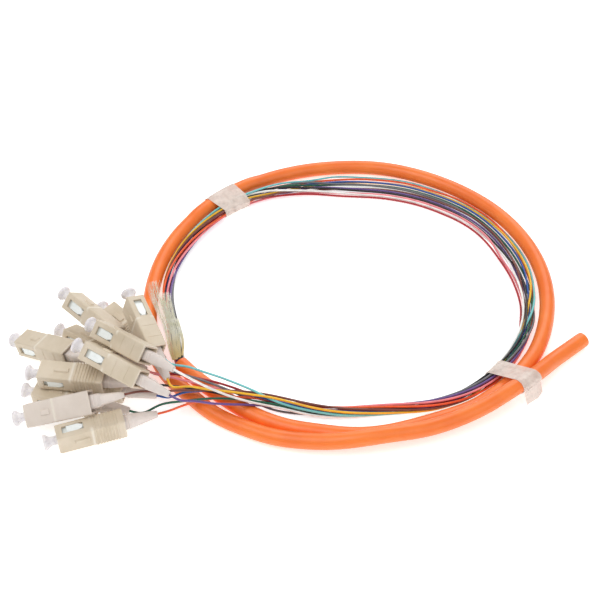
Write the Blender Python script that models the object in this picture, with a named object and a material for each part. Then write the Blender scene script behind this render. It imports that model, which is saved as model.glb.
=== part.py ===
"""A twelve-fibre breakout cable, coiled and lying on a floor.

One round jacketed cable runs once round a ring and is cut square at its far
end. At its stripped end twelve buffered fibres and a tuft of strength yarn come
out. The fibres run a second turn inside the jacket's ring, are tied to it by two
tapes, cross over it, and each ends in a push-pull connector with a dust cap. The
connectors lie in a loose heap beside the ring.

Metres, +Z up. The origin is on the floor, at the middle of the footprint. Routes
and places are given in millimetres from the centre of the ring.
"""

import math

import bmesh
import bpy
import numpy as np
from mathutils import Matrix, Vector

MM = 0.001
RING_CENTRE = Vector((21.231, 4.771, 0.0)) * MM  # the ring's centre, from the footprint's middle
CLEARANCE = 0.3 * MM  # between two pieces that lie on or in each other

# Cable and fibres
JACKET_DIAMETER = 6.2 * MM
FIBRE_DIAMETER = 0.9 * MM
FIBRE_SPACE = FIBRE_DIAMETER + 0.26 * MM  # least distance between two fibres' centres
JACKET_STEP = 10.0 * MM  # between two points of the jacket's tube
FIBRE_STATIONS = 39  # points of each fibre along the turn
FAN_POINTS = 9  # points of each fibre from the turn to its boot

# Connector, in its own frame: +X out of its front, +Z out of its wide key face
SLEEVE_LENGTH = 25.0 * MM
SLEEVE_WIDTH = 9.0 * MM
SLEEVE_HEIGHT = 7.4 * MM
SLEEVE_WALL = 0.9 * MM
SLEEVE_CHAMFER = 0.7 * MM
SLEEVE_TRAVEL = 1.5 * MM
WINDOW_LENGTH = 7.8 * MM
WINDOW_WIDTH = 3.2 * MM
WINDOW_SETBACK = 2.4 * MM
KEY_LENGTH = 7.0 * MM
KEY_WIDTH = 2.2 * MM
KEY_HEIGHT = 0.5 * MM
KEY_SETBACK = 7.0 * MM
FRAME_SETBACK = 0.6 * MM
SOCKET_DEPTH = 7.0 * MM
SOCKET_WALL = 0.5 * MM
FERRULE_DIAMETER = 2.5 * MM
FERRULE_SETBACK = 1.0 * MM
BOOT_LENGTH = 12.5 * MM
BOOT_BASE_DIAMETER = 4.6 * MM  # where the boot has become round
BOOT_TIP_DIAMETER = 2.6 * MM
CAP_WALL = 0.45 * MM
CAP_FIT = 0.1 * MM  # running gap between the cap's bore and the ferrule
CAP_GRIP = 3.6 * MM  # length of ferrule inside the cap
CAP_STEM = 2.4 * MM  # stem in front of the housing
CAP_NECK_DIAMETER = 4.2 * MM  # the stem outside the socket
CAP_FLANGE_LENGTH = 3.0 * MM
CAP_FLANGE_DIAMETER = 5.8 * MM

# Tape ties and yarn
TAPE_THICKNESS = 0.25 * MM
TAPE_FAR_WIDTH = 15.0 * MM
TAPE_NEAR_WIDTH = 9.5 * MM
TAPE_FLAG = 6.0 * MM  # loose end of the near tape
TAPE_OFF_FLOOR = 0.05 * MM
YARN_WIDTH = 1.8 * MM
YARN_THICKNESS = 0.5 * MM

# The jacket's route from its cut end, round the ring to the stripped end
JACKET_ROUTE = (
    (91.0, -32.0, 3.1), (84.5, -37.4, 3.1), (77.5, -43.8, 3.9), (69.2, -53.2, 6.8),
    (59.4, -61.8, 8.4), (47.6, -70.2, 8.0), (36.0, -76.2, 7.4), (24.6, -80.4, 7.3),
    (13.4, -83.0, 7.8), (2.5, -84.9, 7.6), (-8.3, -85.4, 6.3), (-19.2, -84.2, 5.0),
    (-30.1, -82.0, 4.4), (-41.4, -76.8, 3.3), (-52.8, -70.2, 3.1), (-63.0, -60.6, 3.1),
    (-72.0, -50.5, 3.1), (-78.2, -37.5, 3.1), (-81.2, -24.0, 3.1), (-82.0, -10.0, 3.1),
    (-79.9, 10.5, 3.1), (-73.3, 29.5, 3.1), (-67.2, 40.0, 3.1), (-60.0, 49.3, 3.1),
    (-51.2, 57.6, 3.1), (-39.8, 65.0, 3.1), (-21.0, 72.6, 3.1), (-2.6, 75.6, 3.1),
    (15.7, 74.8, 3.1), (33.8, 69.0, 3.1), (50.8, 58.6, 3.1), (64.5, 45.0, 3.1),
    (74.2, 28.5, 3.1), (79.4, 10.7, 3.1), (80.2, -7.2, 3.1), (77.0, -24.5, 3.1),
    (70.6, -40.0, 3.1), (63.2, -50.8, 3.1), (55.2, -59.0, 3.1), (43.2, -67.4, 3.1),
    (31.0, -72.6, 3.1), (19.5, -76.6, 3.1), (8.2, -79.4, 3.1), (-2.8, -80.0, 3.1),
    (-13.7, -78.6, 3.1), (-24.7, -76.4, 3.1), (-41.5, -68.4, 3.1), (-52.5, -59.8, 3.1),
    (-60.5, -52.6, 3.1), (-67.3, -45.0, 3.1),
)

# The bundle's turn inside the ring: bearing from the ring's centre in degrees,
# radius and height of its middle in mm, and how far it lies spread on the floor
BUNDLE_TURN = (
    (-146.6, 80.7, 3.1, 0.0), (-153, 78.2, 3.1, 0.0), (-162, 75.8, 3.0, 0.0),
    (-172, 75.6, 2.8, 0.1), (-184, 75.0, 2.6, 0.1), (-198, 73.4, 2.6, 0.1),
    (-212, 71.6, 2.9, 0.0), (-224, 70.2, 3.2, 0.0), (-234, 68.8, 2.9, 0.1),
    (-252, 65.6, 2.7, 0.5), (-270, 64.3, 2.6, 0.9), (-290, 66.3, 2.6, 1.0),
    (-310, 69.0, 2.6, 1.0), (-328, 70.6, 2.6, 0.8), (-346, 71.4, 2.6, 0.7),
    (-367, 73.0, 2.6, 0.4), (-380, 73.8, 2.8, 0.2), (-392, 74.1, 3.1, 0.0),
    (-402, 74.2, 3.4, 0.0), (-416, 73.5, 3.2, 0.0), (-430, 70.6, 2.8, 0.0),
    (-440, 68.6, 2.7, 0.0), (-452, 68.8, 2.7, 0.0), (-464, 70.0, 2.9, 0.0),
    (-473, 72.0, 4.0, 0.0),
)
TWIST_TURNS = 2.6  # turns that the bundle makes about its own line
SPREAD_SPACE = FIBRE_SPACE + 0.05 * MM  # between fibres that lie side by side
ROPE_RADIUS = 1.6 * FIBRE_SPACE  # radius of the outer nine of the twelve
CORE_RADIUS = 0.58 * FIBRE_SPACE  # radius of the inner three
FAN_REACH = 20.0  # mm, how strongly a fibre keeps its direction at the fan's ends
FAN_RISE = 6.5  # mm, height of the hump over the ring for a boot on the floor
FAN_SAG = 0.35  # share of a boot's own height by which its hump is lower
FIBRE_OFF_FLOOR = 0.15 * MM
EASE_ROUNDS = 300
TAPE_LEAD = 7.0  # mm over which a strand rises to lie on a tape

# Colour, place in the bundle's section and across its spread, and the connector:
# front face's centre in mm, then bearing of its rear end, its rise, and its roll
# about its own axis in degrees (0 lies on a wide face, 90 on a narrow one)
CHANNELS = (
    ("slate", 2, 6, (-110.45, -24.49, 17.87), -41, -6.4, -41),
    ("white", 4, 1, (-96.5, -45.5, 23.2), -37, 4, -48),
    ("yellow", 6, 9, (-85.64, -29.81, 21.78), -65, -10, 75),
    ("rose", 0, 2, (-129.5, -36.0, 5.8), -29, 14, -2),
    ("red", 9, 0, (-112.5, -31.5, 5.5), -30, 0, -27),
    ("violet", 1, 4, (-99.8, -57.1, 24.1), -31, -4, -49),
    ("black", 3, 3, (-118.5, -58.0, 12.1), -7, 0, 3),
    ("green", 10, 7, (-121.0, -60.0, 3.75), -14, 0, 0),
    ("brown", 7, 5, (-121.5, -74.0, 6.8), 5, 13, 43),
    ("orange", 8, 10, (-109.5, -83.5, 4.8), 18, 1, 89),
    ("aqua", 5, 11, (-97.55, -21.45, 7.28), -48.2, 5.6, 10.5),
    ("blue", 11, 8, (-111.5, -52.5, 3.75), -14, 0, 0),
)
HEAP_ANCHOR = (-72.0, -48.0, 0.0)  # mm, where the heap meets the ring
HEAP_LAID_FOR = (37.5 * MM, 9.0 * MM, 7.4 * MM)  # connector length, width and height
# Name, bearing from the ring's centre in degrees, width, and loose end
TAPE_TIES = (
    ("tape_tie_far", 136.0, TAPE_FAR_WIDTH, 0.0),
    ("tape_tie_near", -42.0, TAPE_NEAR_WIDTH, TAPE_FLAG),
)
# Locks of yarn: x and y in mm, and height over the top of a jacket lying on the floor
YARN_LOCKS = (
    ((-69.2, -45.3, -0.2), (-71.0, -38.5, 0.1), (-72.4, -31.0, 0.4), (-75.4, -22.0, 0.7),
     (-79.3, -11.5, 0.7), (-81.4, -3.0, 0.7)),
    ((-67.9, -44.2, -0.2), (-68.6, -37.0, 0.1), (-69.8, -30.0, 0.2), (-72.2, -21.0, 0.3),
     (-74.8, -9.0, 0.3)),
    ((-66.6, -43.1, -0.2), (-66.2, -36.0, 0.1), (-67.2, -29.5, 0.2), (-69.0, -20.0, 0.2),
     (-70.6, -10.0, 0.2)),
)

# sRGB colours and finishes
COLOURS = {
    "jacket": (1.0, 0.50, 0.25), "sleeve": (0.85, 0.79, 0.71), "core": (0.88, 0.85, 0.84),
    "cap": (0.90, 0.90, 0.93), "tape": (0.90, 0.85, 0.80), "yarn": (0.92, 0.88, 0.72),
    "slate": (0.42, 0.42, 0.44), "white": (0.97, 0.97, 0.95), "yellow": (0.97, 0.79, 0.24),
    "rose": (0.96, 0.60, 0.65), "red": (0.69, 0.09, 0.16), "violet": (0.42, 0.31, 0.56),
    "black": (0.10, 0.08, 0.09), "green": (0.12, 0.42, 0.31), "brown": (0.48, 0.29, 0.25),
    "orange": (0.94, 0.42, 0.23), "aqua": (0.50, 0.83, 0.85), "blue": (0.18, 0.38, 0.71),
}


def clear_scene():
    for thing in list(bpy.data.objects):
        bpy.data.objects.remove(thing)


def material(name, roughness=0.4):
    """A plain Principled material in one of the named colours."""
    made = bpy.data.materials.get(name)
    if made is None:
        made = bpy.data.materials.new(name)
        made.use_nodes = True
        shader = made.node_tree.nodes["Principled BSDF"]
        linear = [c / 12.92 if c < 0.04045 else ((c + 0.055) / 1.055) ** 2.4 for c in COLOURS[name]]
        shader.inputs["Base Color"].default_value = (*linear, 1.0)
        shader.inputs["Roughness"].default_value = roughness
    return made


def link(name, data, finish, matrix=None):
    thing = bpy.data.objects.new(name, data)
    if not data.materials:
        data.materials.append(material(finish))
    bpy.context.collection.objects.link(thing)
    if matrix is not None:
        thing.matrix_world = matrix
    return thing


def world(point):
    """A route's point, in mm from the ring's centre, as metres in the part's frame."""
    return RING_CENTRE + Vector(point) * MM


def natural_spline(values, at, where):
    """The natural cubic curve through values at the parameters at, read at where."""
    values = np.asarray(values, float)
    step = np.diff(at)
    count = len(at)
    system = np.eye(count)
    right = np.zeros_like(values)
    for i in range(1, count - 1):
        system[i, i - 1 : i + 2] = step[i - 1], 2 * (step[i - 1] + step[i]), step[i]
        slopes = (values[i + 1] - values[i]) / step[i] - (values[i] - values[i - 1]) / step[i - 1]
        right[i] = 6 * slopes
    bend = np.linalg.solve(system, right)
    k = np.clip(np.searchsorted(at, where) - 1, 0, count - 2)
    h = step[k][:, None]
    a = (at[k + 1] - where)[:, None] / h
    b = 1 - a
    cubic = ((a**3 - a) * bend[k] + (b**3 - b) * bend[k + 1]) * h**2 / 6
    return a * values[k] + b * values[k + 1] + cubic


def smooth_path(points, count):
    """count points, evenly spaced, on the smooth curve through the route's points."""
    points = np.asarray(points, float)
    at = np.concatenate([[0], np.cumsum(np.linalg.norm(np.diff(points, axis=0), axis=1))])
    dense = natural_spline(points, at, np.linspace(0, at[-1], 40 * len(points)))
    run = np.concatenate([[0], np.cumsum(np.linalg.norm(np.diff(dense, axis=0), axis=1))])
    even = np.linspace(0, run[-1], count)
    return np.stack([np.interp(even, run, dense[:, i]) for i in range(3)], axis=1)


def path_length(points):
    return np.linalg.norm(np.diff(np.asarray(points, float), axis=0), axis=1).sum()


def tape_lift(points):
    """How far in mm each point's strand is held off the floor by a tape beneath it."""
    bearing = np.degrees(np.arctan2(points[:, 1], points[:, 0]))
    radius = np.hypot(points[:, 0], points[:, 1])
    lift = np.zeros(len(points))
    for _, middle, width, _ in TAPE_TIES:
        off = np.abs((bearing - middle + 180) % 360 - 180)
        beyond = np.radians(off) * radius - width / 2 / MM - TAPE_LEAD
        fade = np.clip(1 - beyond / TAPE_LEAD, 0, 1)
        lift = np.maximum(lift, fade * fade * (3 - 2 * fade))
    return lift * (CLEARANCE + TAPE_THICKNESS + TAPE_OFF_FLOOR) / MM


def jacket_path(step_mm):
    path = smooth_path(JACKET_ROUTE, round(path_length(JACKET_ROUTE) / step_mm) + 1)
    path[:, 2] = np.maximum(path[:, 2], JACKET_DIAMETER / 2 / MM + tape_lift(path))
    return path


def crossings(path, bearing):
    """Radius and height of each place where a path in mm crosses a bearing in degrees."""
    turned = np.radians(bearing)
    across = path[:, 1] * math.cos(turned) - path[:, 0] * math.sin(turned)
    along = path[:, 0] * math.cos(turned) + path[:, 1] * math.sin(turned)
    hit = np.nonzero((across[:-1] * across[1:] <= 0) & (along[:-1] > 0))[0]
    t = across[hit] / (across[hit] - across[hit + 1])
    return [
        (along[i] + s * (along[i + 1] - along[i]), path[i, 2] + s * (path[i + 1, 2] - path[i, 2]))
        for i, s in zip(hit, t)
    ]


def bundle_section(place, rank, turn, spread, height):
    """Where a fibre lies in the bundle's section, outward and up from its middle in mm."""
    outer = place < 9
    angle = 2 * math.pi * (place / 9 if outer else (place - 9) / 3) + turn
    radius = (ROPE_RADIUS if outer else CORE_RADIUS) / MM
    rope = np.array([radius * math.cos(angle), radius * math.sin(angle)])
    floor = (FIBRE_DIAMETER / 2 + FIBRE_OFF_FLOOR) / MM
    flat = np.array([(rank - 5.5) * SPREAD_SPACE / MM, floor - height])
    return rope * (1 - spread) + flat * spread


def ease_section(places, jackets):
    """Moves the fibres of one section apart, off the floor and clear of the jacket."""
    least = FIBRE_SPACE / MM
    off_jacket = (JACKET_DIAMETER + FIBRE_DIAMETER) / 2 / MM + 0.25
    for _ in range(60):
        apart = places[:, None] - places[None]
        distance = np.linalg.norm(apart, axis=2) + np.eye(len(places)) * 99
        push = np.maximum(least - distance, 0) / distance / 2
        places = places + (apart * push[:, :, None]).sum(axis=1)
        for centre in jackets:
            away = places - centre
            reach = np.linalg.norm(away, axis=1, keepdims=True)
            places = places + away / reach * np.maximum(off_jacket - reach, 0)
        places[:, 1] = np.maximum(places[:, 1], (FIBRE_DIAMETER / 2 + FIBRE_OFF_FLOOR) / MM)
    return places


def bundle_lines(jacket):
    """Each fibre's points along the turn, in mm: an array of stations, fibres and x, y, z."""
    turn = np.array(BUNDLE_TURN, float)
    bearing = np.radians(turn[:, 0])
    middle = np.stack([turn[:, 1] * np.cos(bearing), turn[:, 1] * np.sin(bearing), turn[:, 2]], axis=1)
    line = smooth_path(middle, FIBRE_STATIONS)
    seen = np.unwrap(np.arctan2(line[:, 1], line[:, 0]))
    spread = np.interp(-seen, -bearing, turn[:, 3])
    lines = np.zeros((FIBRE_STATIONS, len(CHANNELS), 3))
    for i, (x, y, z) in enumerate(line):
        radius = math.hypot(x, y)
        twist = TWIST_TURNS * 2 * math.pi * i / (FIBRE_STATIONS - 1)
        section = np.array(
            [bundle_section(c[1], c[2], twist, spread[i], z) for c in CHANNELS]
        ) + (radius, z)
        section = ease_section(section, crossings(jacket, math.degrees(seen[i])))
        outward = np.array([x, y]) / radius
        lines[i, :, :2] = section[:, :1] * outward
        lines[i, :, 2] = section[:, 1]
    return lines


def connector_axes(bearing, rise, roll):
    """Unit vectors of a connector: towards its rear, and out of its wide key face."""
    bearing, rise, roll = (math.radians(a) for a in (bearing, rise, roll))
    rear = Vector(
        (math.cos(rise) * math.cos(bearing), math.cos(rise) * math.sin(bearing), math.sin(rise))
    )
    up = Vector(
        (-math.sin(rise) * math.cos(bearing), -math.sin(rise) * math.sin(bearing), math.cos(rise))
    )
    side = Vector((math.sin(bearing), -math.cos(bearing), 0))
    return rear, up * math.cos(roll) + side * math.sin(roll)


def connector_place(place):
    """A front face's centre in mm: the heap spreads from its anchor as connectors grow."""
    sizes = (SLEEVE_LENGTH + BOOT_LENGTH, SLEEVE_WIDTH, SLEEVE_HEIGHT)
    growth = max(size / laid for size, laid in zip(sizes, HEAP_LAID_FOR))
    return Vector(HEAP_ANCHOR) + (Vector(place) - Vector(HEAP_ANCHOR)) * growth


def connector_matrix(place, bearing, rise, roll):
    rear, key = connector_axes(bearing, rise, roll)
    front = -rear
    across = key.cross(front)
    turned = Matrix((front, across, key)).transposed().to_4x4()
    return Matrix.Translation(world(connector_place(place))) @ turned


def boot_tip(channel):
    """The middle of the boot's tip in mm, and the direction in which it points."""
    rear, _ = connector_axes(*channel[4:7])
    out = (SLEEVE_LENGTH + BOOT_LENGTH) / MM
    return np.array(connector_place(channel[3])) + np.array(rear) * out, np.array(rear)


def connector_solids():
    """Round bodies that stand for the connectors: their starts, ends and radii in mm."""
    solids = []
    for channel in CHANNELS:
        front = np.array(connector_place(channel[3]))
        tip, rear = boot_tip(channel)
        face = front + rear * (SLEEVE_LENGTH / MM)
        pulled = face + rear * (SLEEVE_TRAVEL / MM)
        solids.append((front, pulled, 0.6 * SLEEVE_WIDTH / MM))
        waist = face + rear * (0.45 * BOOT_LENGTH / MM)
        solids.append((face, waist, (SLEEVE_HEIGHT / 2 - SLEEVE_WALL) / MM + 0.5))
        solids.append((waist, tip - rear * 0.6, BOOT_BASE_DIAMETER / 2 / MM))
    return solids


def offsets_from(points, starts, ends):
    """Vectors to the points from the nearest places of the segments, arrays alike."""
    along = ends - starts
    size = np.maximum((along**2).sum(axis=-1), 1e-9)
    t = np.clip(((points - starts) * along).sum(axis=-1) / size, 0, 1)
    return points - (starts + t[..., None] * along)


def fibre_floor(lines):
    """The least height of each point's middle in mm: more where a tape passes beneath."""
    return (FIBRE_DIAMETER / 2 + FIBRE_OFF_FLOOR) / MM + tape_lift(lines.mean(axis=0))


def ease_fibres(lines, solids):
    """Moves whole fibres apart and off what they pass, with both ends held.

    lines is an array of fibres, points and x, y, z in mm. Each round takes four
    places of every segment, pushes each off the near segments of the other fibres
    and off the solids, and smooths how far the points have moved.
    """
    fibre = FIBRE_DIAMETER / 2 / MM
    number, count = lines.shape[0], lines.shape[1] - 1
    first, floor = lines.copy(), fibre_floor(lines)
    parts = np.array([0.0, 0.25, 0.5, 0.75])[None, None, :, None]
    solid_starts, solid_ends, radii = (np.array(column) for column in zip(*solids))
    limit = np.concatenate([np.full(number * count, FIBRE_SPACE / MM), radii + fibre + 0.3])
    share = np.where(np.arange(len(limit)) < number * count, 0.22, 0.35)
    probe_fibre = np.repeat(np.arange(number), count * 4)
    segment_fibre = np.concatenate([np.repeat(np.arange(number), count), np.full(len(radii), -1)])
    for round_number in range(EASE_ROUNDS):
        probes = (lines[:, :-1, None] * (1 - parts) + lines[:, 1:, None] * parts).reshape(-1, 3)
        starts = np.concatenate([lines[:, :-1].reshape(-1, 3), solid_starts])
        ends = np.concatenate([lines[:, 1:].reshape(-1, 3), solid_ends])
        if round_number % 15 == 0:
            away = offsets_from(probes[:, None], starts[None], ends[None])
            reach = np.linalg.norm(away, axis=2) < limit + 2.5
            probe, segment = np.nonzero(reach & (probe_fibre[:, None] != segment_fibre))
        away = offsets_from(probes[probe], starts[segment], ends[segment])
        distance = np.maximum(np.linalg.norm(away, axis=1), 1e-6)
        push = np.maximum(limit[segment] - distance, 0) / distance * share[segment]
        shift = np.stack(
            [np.bincount(probe, away[:, i] * push, len(probes)) for i in range(3)], axis=1
        ).reshape(number, count, 4, 3)
        change = np.zeros_like(lines)
        change[:, :-1] += (shift * (1 - parts)).sum(axis=2)
        change[:, 1:] += (shift * parts).sum(axis=2)
        drift = lines - first
        change[:, 1:-1] += 0.1 * ((drift[:, 2:] + drift[:, :-2]) / 2 - drift[:, 1:-1])
        change[:, :1] = 0
        change[:, -2:] = 0
        lines = lines + change
        lines[:, :, 2] = np.maximum(lines[:, :, 2], floor)
    return lines


def fibre_lines(jacket):
    """Every fibre's points in mm, round the turn and on to its boot."""
    turn_lines = bundle_lines(jacket)
    start = turn_lines[-1]
    ahead = turn_lines[-1] - turn_lines[-2]
    ahead /= np.linalg.norm(ahead, axis=1, keepdims=True)
    t = np.linspace(0, 1, FAN_POINTS)[:, None]
    lines = []
    for f, channel in enumerate(CHANNELS):
        tip, rear = boot_tip(channel)
        end = tip + rear * (CLEARANCE / MM)
        reach = min(FAN_REACH, 0.9 * np.linalg.norm(end - start[f]))
        curve = (
            (2 * t**3 - 3 * t**2 + 1) * start[f]
            + (t**3 - 2 * t**2 + t) * ahead[f] * reach
            + (-2 * t**3 + 3 * t**2) * end
            + (t**3 - t**2) * -rear * reach
        )
        curve[:, 2] += (FAN_RISE - FAN_SAG * end[2]) * np.sin(math.pi * t[:, 0]) ** 2
        curve[-2] = end + rear * np.linalg.norm(curve[-1] - curve[-2])
        lines.append(np.concatenate([turn_lines[:, f], curve[1:]]))
    body = JACKET_DIAMETER / 2 / MM
    solids = connector_solids() + [(a, b, body) for a, b in zip(jacket[:-1], jacket[1:])]
    return ease_fibres(np.array(lines), solids)


def tube(name, points_mm, diameter, sides, finish):
    """A round tube along the points: a curve with a bevel and filled caps."""
    curve = bpy.data.curves.new(name, "CURVE")
    curve.dimensions = "3D"
    curve.bevel_depth = diameter / 2
    curve.bevel_resolution = sides // 2 - 2
    curve.use_fill_caps = True
    spline = curve.splines.new("POLY")
    spline.points.add(len(points_mm) - 1)
    for spot, point in zip(spline.points, points_mm):
        spot.co = (*world(point), 1)
        spot.radius = 1
    return link(name, curve, finish)


def mesh_of_rings(name, rings, closed_ends=True, loop=False):
    """A mesh skinned over rings of equal point counts, with faces pointing out."""
    shape = bmesh.new()
    made = [[shape.verts.new(point) for point in ring] for ring in rings]
    pairs = list(zip(made[:-1], made[1:]))
    if loop:
        pairs.append((made[-1], made[0]))
    for first, second in pairs:
        for i in range(len(first)):
            j = (i + 1) % len(first)
            shape.faces.new((first[i], first[j], second[j], second[i]))
    if closed_ends and not loop:
        shape.faces.new(made[0][::-1])
        shape.faces.new(made[-1])
    bmesh.ops.recalc_face_normals(shape, faces=shape.faces)
    mesh = bpy.data.meshes.new(name)
    shape.to_mesh(mesh)
    shape.free()
    return mesh


def box_section(width, height, chamfer, x):
    """The points of a chamfered rectangle across X."""
    w, h, c = width / 2, height / 2, chamfer
    corners = (
        (w, h - c), (w - c, h), (c - w, h), (-w, h - c), (-w, c - h), (c - w, -h), (w - c, -h), (w, c - h),
    )
    return [(x, y, z) for y, z in corners]


def round_section(diameter, count, x):
    turns = [2 * math.pi * i / count for i in range(count)]
    return [(x, diameter / 2 * math.cos(a), diameter / 2 * math.sin(a)) for a in turns]


def helper(mesh):
    """A hidden object for a Boolean to read."""
    thing = bpy.data.objects.new(mesh.name, mesh)
    bpy.context.collection.objects.link(thing)
    thing.hide_render = True
    thing.display_type = "WIRE"
    return thing


def combined(name, base, steps):
    """The base mesh with each (operation, mesh) of steps applied to it."""
    base_object = helper(base)
    tools = []
    for operation, mesh in steps:
        tool = helper(mesh)
        tools.append(tool)
        change = base_object.modifiers.new(operation, "BOOLEAN")
        change.operation = operation
        change.solver = "EXACT"
        change.object = tool
    graph = bpy.context.evaluated_depsgraph_get()
    result = bpy.data.meshes.new_from_object(base_object.evaluated_get(graph))
    result.name = name
    for thing in (base_object, *tools):
        bpy.data.objects.remove(thing)
    return result


def block(name, x_low, x_high, width, height, middle_z=0.0):
    w, h = width / 2, height / 2
    rings = [
        [(x, y, middle_z + z) for y, z in ((w, h), (-w, h), (-w, -h), (w, -h))] for x in (x_low, x_high)
    ]
    return mesh_of_rings(name, rings)


def sleeve_mesh():
    """The outer housing: open at both ends, a window in each narrow face, a key bar."""
    base = mesh_of_rings(
        "sleeve_base",
        [box_section(SLEEVE_WIDTH, SLEEVE_HEIGHT, SLEEVE_CHAMFER, x) for x in (-SLEEVE_LENGTH, 0)],
    )
    bore_width = SLEEVE_WIDTH - 2 * SLEEVE_WALL
    bore_height = SLEEVE_HEIGHT - 2 * SLEEVE_WALL
    bore = block("sleeve_bore", -1.1 * SLEEVE_LENGTH, 0.1 * SLEEVE_LENGTH, bore_width, bore_height)
    window_rear = -WINDOW_SETBACK - WINDOW_LENGTH
    window = block("sleeve_window", window_rear, -WINDOW_SETBACK, 2 * SLEEVE_WIDTH, WINDOW_WIDTH)
    key_rear = -KEY_SETBACK - KEY_LENGTH
    key_middle = SLEEVE_HEIGHT / 2 + (KEY_HEIGHT - SLEEVE_WALL / 2) / 2
    key_depth = KEY_HEIGHT + SLEEVE_WALL / 2
    key = block("sleeve_key", key_rear, -KEY_SETBACK, KEY_WIDTH, key_depth, key_middle)
    return combined("grip_sleeve", base, (("DIFFERENCE", bore), ("DIFFERENCE", window), ("UNION", key)))


def core_mesh():
    """The plug frame with its socket and ferrule, and the boot behind it."""
    width = SLEEVE_WIDTH - 2 * SLEEVE_WALL - 2 * CLEARANCE
    height = SLEEVE_HEIGHT - 2 * SLEEVE_WALL - 2 * CLEARANCE
    rear = -SLEEVE_LENGTH
    boot_sides = 12
    rings = []
    for x, share in ((-FRAME_SETBACK, 0.0), (rear + 4 * MM, 0.0), (rear + 3.6 * MM, 0.45)):
        rings.append(rounded_section(width, height, share, boot_sides, x))
    for x, size, share in ((rear, 1.0, 0.5), (rear - 2.2 * MM, 0.96, 0.6)):
        rings.append(rounded_section(width * size, height * size, share, boot_sides, x))
    rings.append(round_section(BOOT_BASE_DIAMETER, boot_sides, rear - 0.45 * BOOT_LENGTH))
    rings.append(round_section(BOOT_TIP_DIAMETER, boot_sides, rear - BOOT_LENGTH))
    base = mesh_of_rings("core_base", rings)
    socket_width, socket_height = width - 2 * SOCKET_WALL, height - 2 * SOCKET_WALL
    socket = block("core_socket", -FRAME_SETBACK - SOCKET_DEPTH, CLEARANCE, socket_width, socket_height)
    ferrule_rear = -FRAME_SETBACK - SOCKET_DEPTH - 1.0 * MM
    ferrule = mesh_of_rings(
        "core_ferrule", [round_section(FERRULE_DIAMETER, 12, x) for x in (ferrule_rear, -FERRULE_SETBACK)]
    )
    return combined("plug_core", base, (("DIFFERENCE", socket), ("UNION", ferrule)))


def rounded_section(width, height, share, count, x):
    """Between a rectangle (share 0) and an ellipse (share 1), across X."""
    points = []
    for i in range(count):
        angle = 2 * math.pi * i / count
        c, s = math.cos(angle), math.sin(angle)
        box = 1 / max(abs(c), abs(s))
        scale = box * (1 - share) + share
        points.append((x, width / 2 * c * scale, height / 2 * s * scale))
    return points


def cap_mesh():
    """The dust cap: a stem over the ferrule and a round flange to pull it by."""
    bore = FERRULE_DIAMETER + 2 * CAP_FIT
    stem = bore + 2 * CAP_WALL
    rear = -FERRULE_SETBACK - CAP_GRIP
    front = CAP_STEM + CAP_FLANGE_LENGTH
    sections = (
        (stem, rear), (stem, -0.5 * FRAME_SETBACK), (CAP_NECK_DIAMETER, 0.0),
        (CAP_NECK_DIAMETER, CAP_STEM), (0.85 * CAP_FLANGE_DIAMETER, CAP_STEM + 0.4 * MM),
        (CAP_FLANGE_DIAMETER, front - 0.9 * MM), (0.9 * CAP_FLANGE_DIAMETER, front),
    )
    base = mesh_of_rings("cap_base", [round_section(size, 12, x) for size, x in sections])
    hole_front = -FERRULE_SETBACK + CLEARANCE
    hole = mesh_of_rings("cap_hole", [round_section(bore, 12, x) for x in (rear - 1 * MM, hole_front)])
    return combined("dust_cap", base, (("DIFFERENCE", hole),))


def hull_section(discs, grow, count):
    """The outline round discs of (u, v, radius), grown by a margin: one point per direction."""
    outline = []
    for i in range(count):
        angle = 2 * math.pi * i / count
        toward = (math.cos(angle), math.sin(angle))
        u, v, radius = max(discs, key=lambda d: d[0] * toward[0] + d[1] * toward[1] + d[2])
        outline.append((u + (radius + grow) * toward[0], v + (radius + grow) * toward[1]))
    return outline


def tape_mesh(name, bearing, width, flag, jacket, fibres):
    """A band of tape round the strands that cross a bearing, with any loose end hanging."""
    rings_in, rings_out = [], []
    radius_mm = float(np.mean([u for u, _ in crossings(jacket, bearing)]))
    half = math.degrees(width / MM / 2 / radius_mm)
    outer_wall = []
    for turned in np.linspace(bearing - half, bearing + half, 5):
        discs = [(u, v, JACKET_DIAMETER / 2 / MM) for u, v in crossings(jacket, turned)]
        for path in fibres:
            discs += [(u, v, FIBRE_DIAMETER / 2 / MM) for u, v in crossings(path, turned)[:1]]
        c, s = math.cos(math.radians(turned)), math.sin(math.radians(turned))
        gap, skin, floor = (size / MM for size in (CLEARANCE, TAPE_THICKNESS, TAPE_OFF_FLOOR))
        for rings, grow, low in ((rings_in, gap, floor + skin), (rings_out, gap + skin, floor)):
            outline = [(u, max(v, low)) for u, v in hull_section(discs, grow, 24)]
            rings.append([world((u * c, u * s, v)) for u, v in outline])
        outer_wall.append((max(outline), c, s))
    band = mesh_of_rings(name, rings_out + rings_in[::-1], loop=True)
    if not flag:
        return band
    rings = []
    for (u, v), c, s in (outer_wall[0], outer_wall[-1]):
        u -= skin / 2
        low = max(v - 0.94 * flag / MM, 4 * floor)
        out = u + 0.35 * flag / MM
        corners = ((u, v), (u + skin, v), (out + skin, low), (out, low))
        rings.append([world((a * c, a * s, z)) for a, z in corners])
    return combined(name, band, (("UNION", mesh_of_rings(name + "_flag", rings)),))


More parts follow.
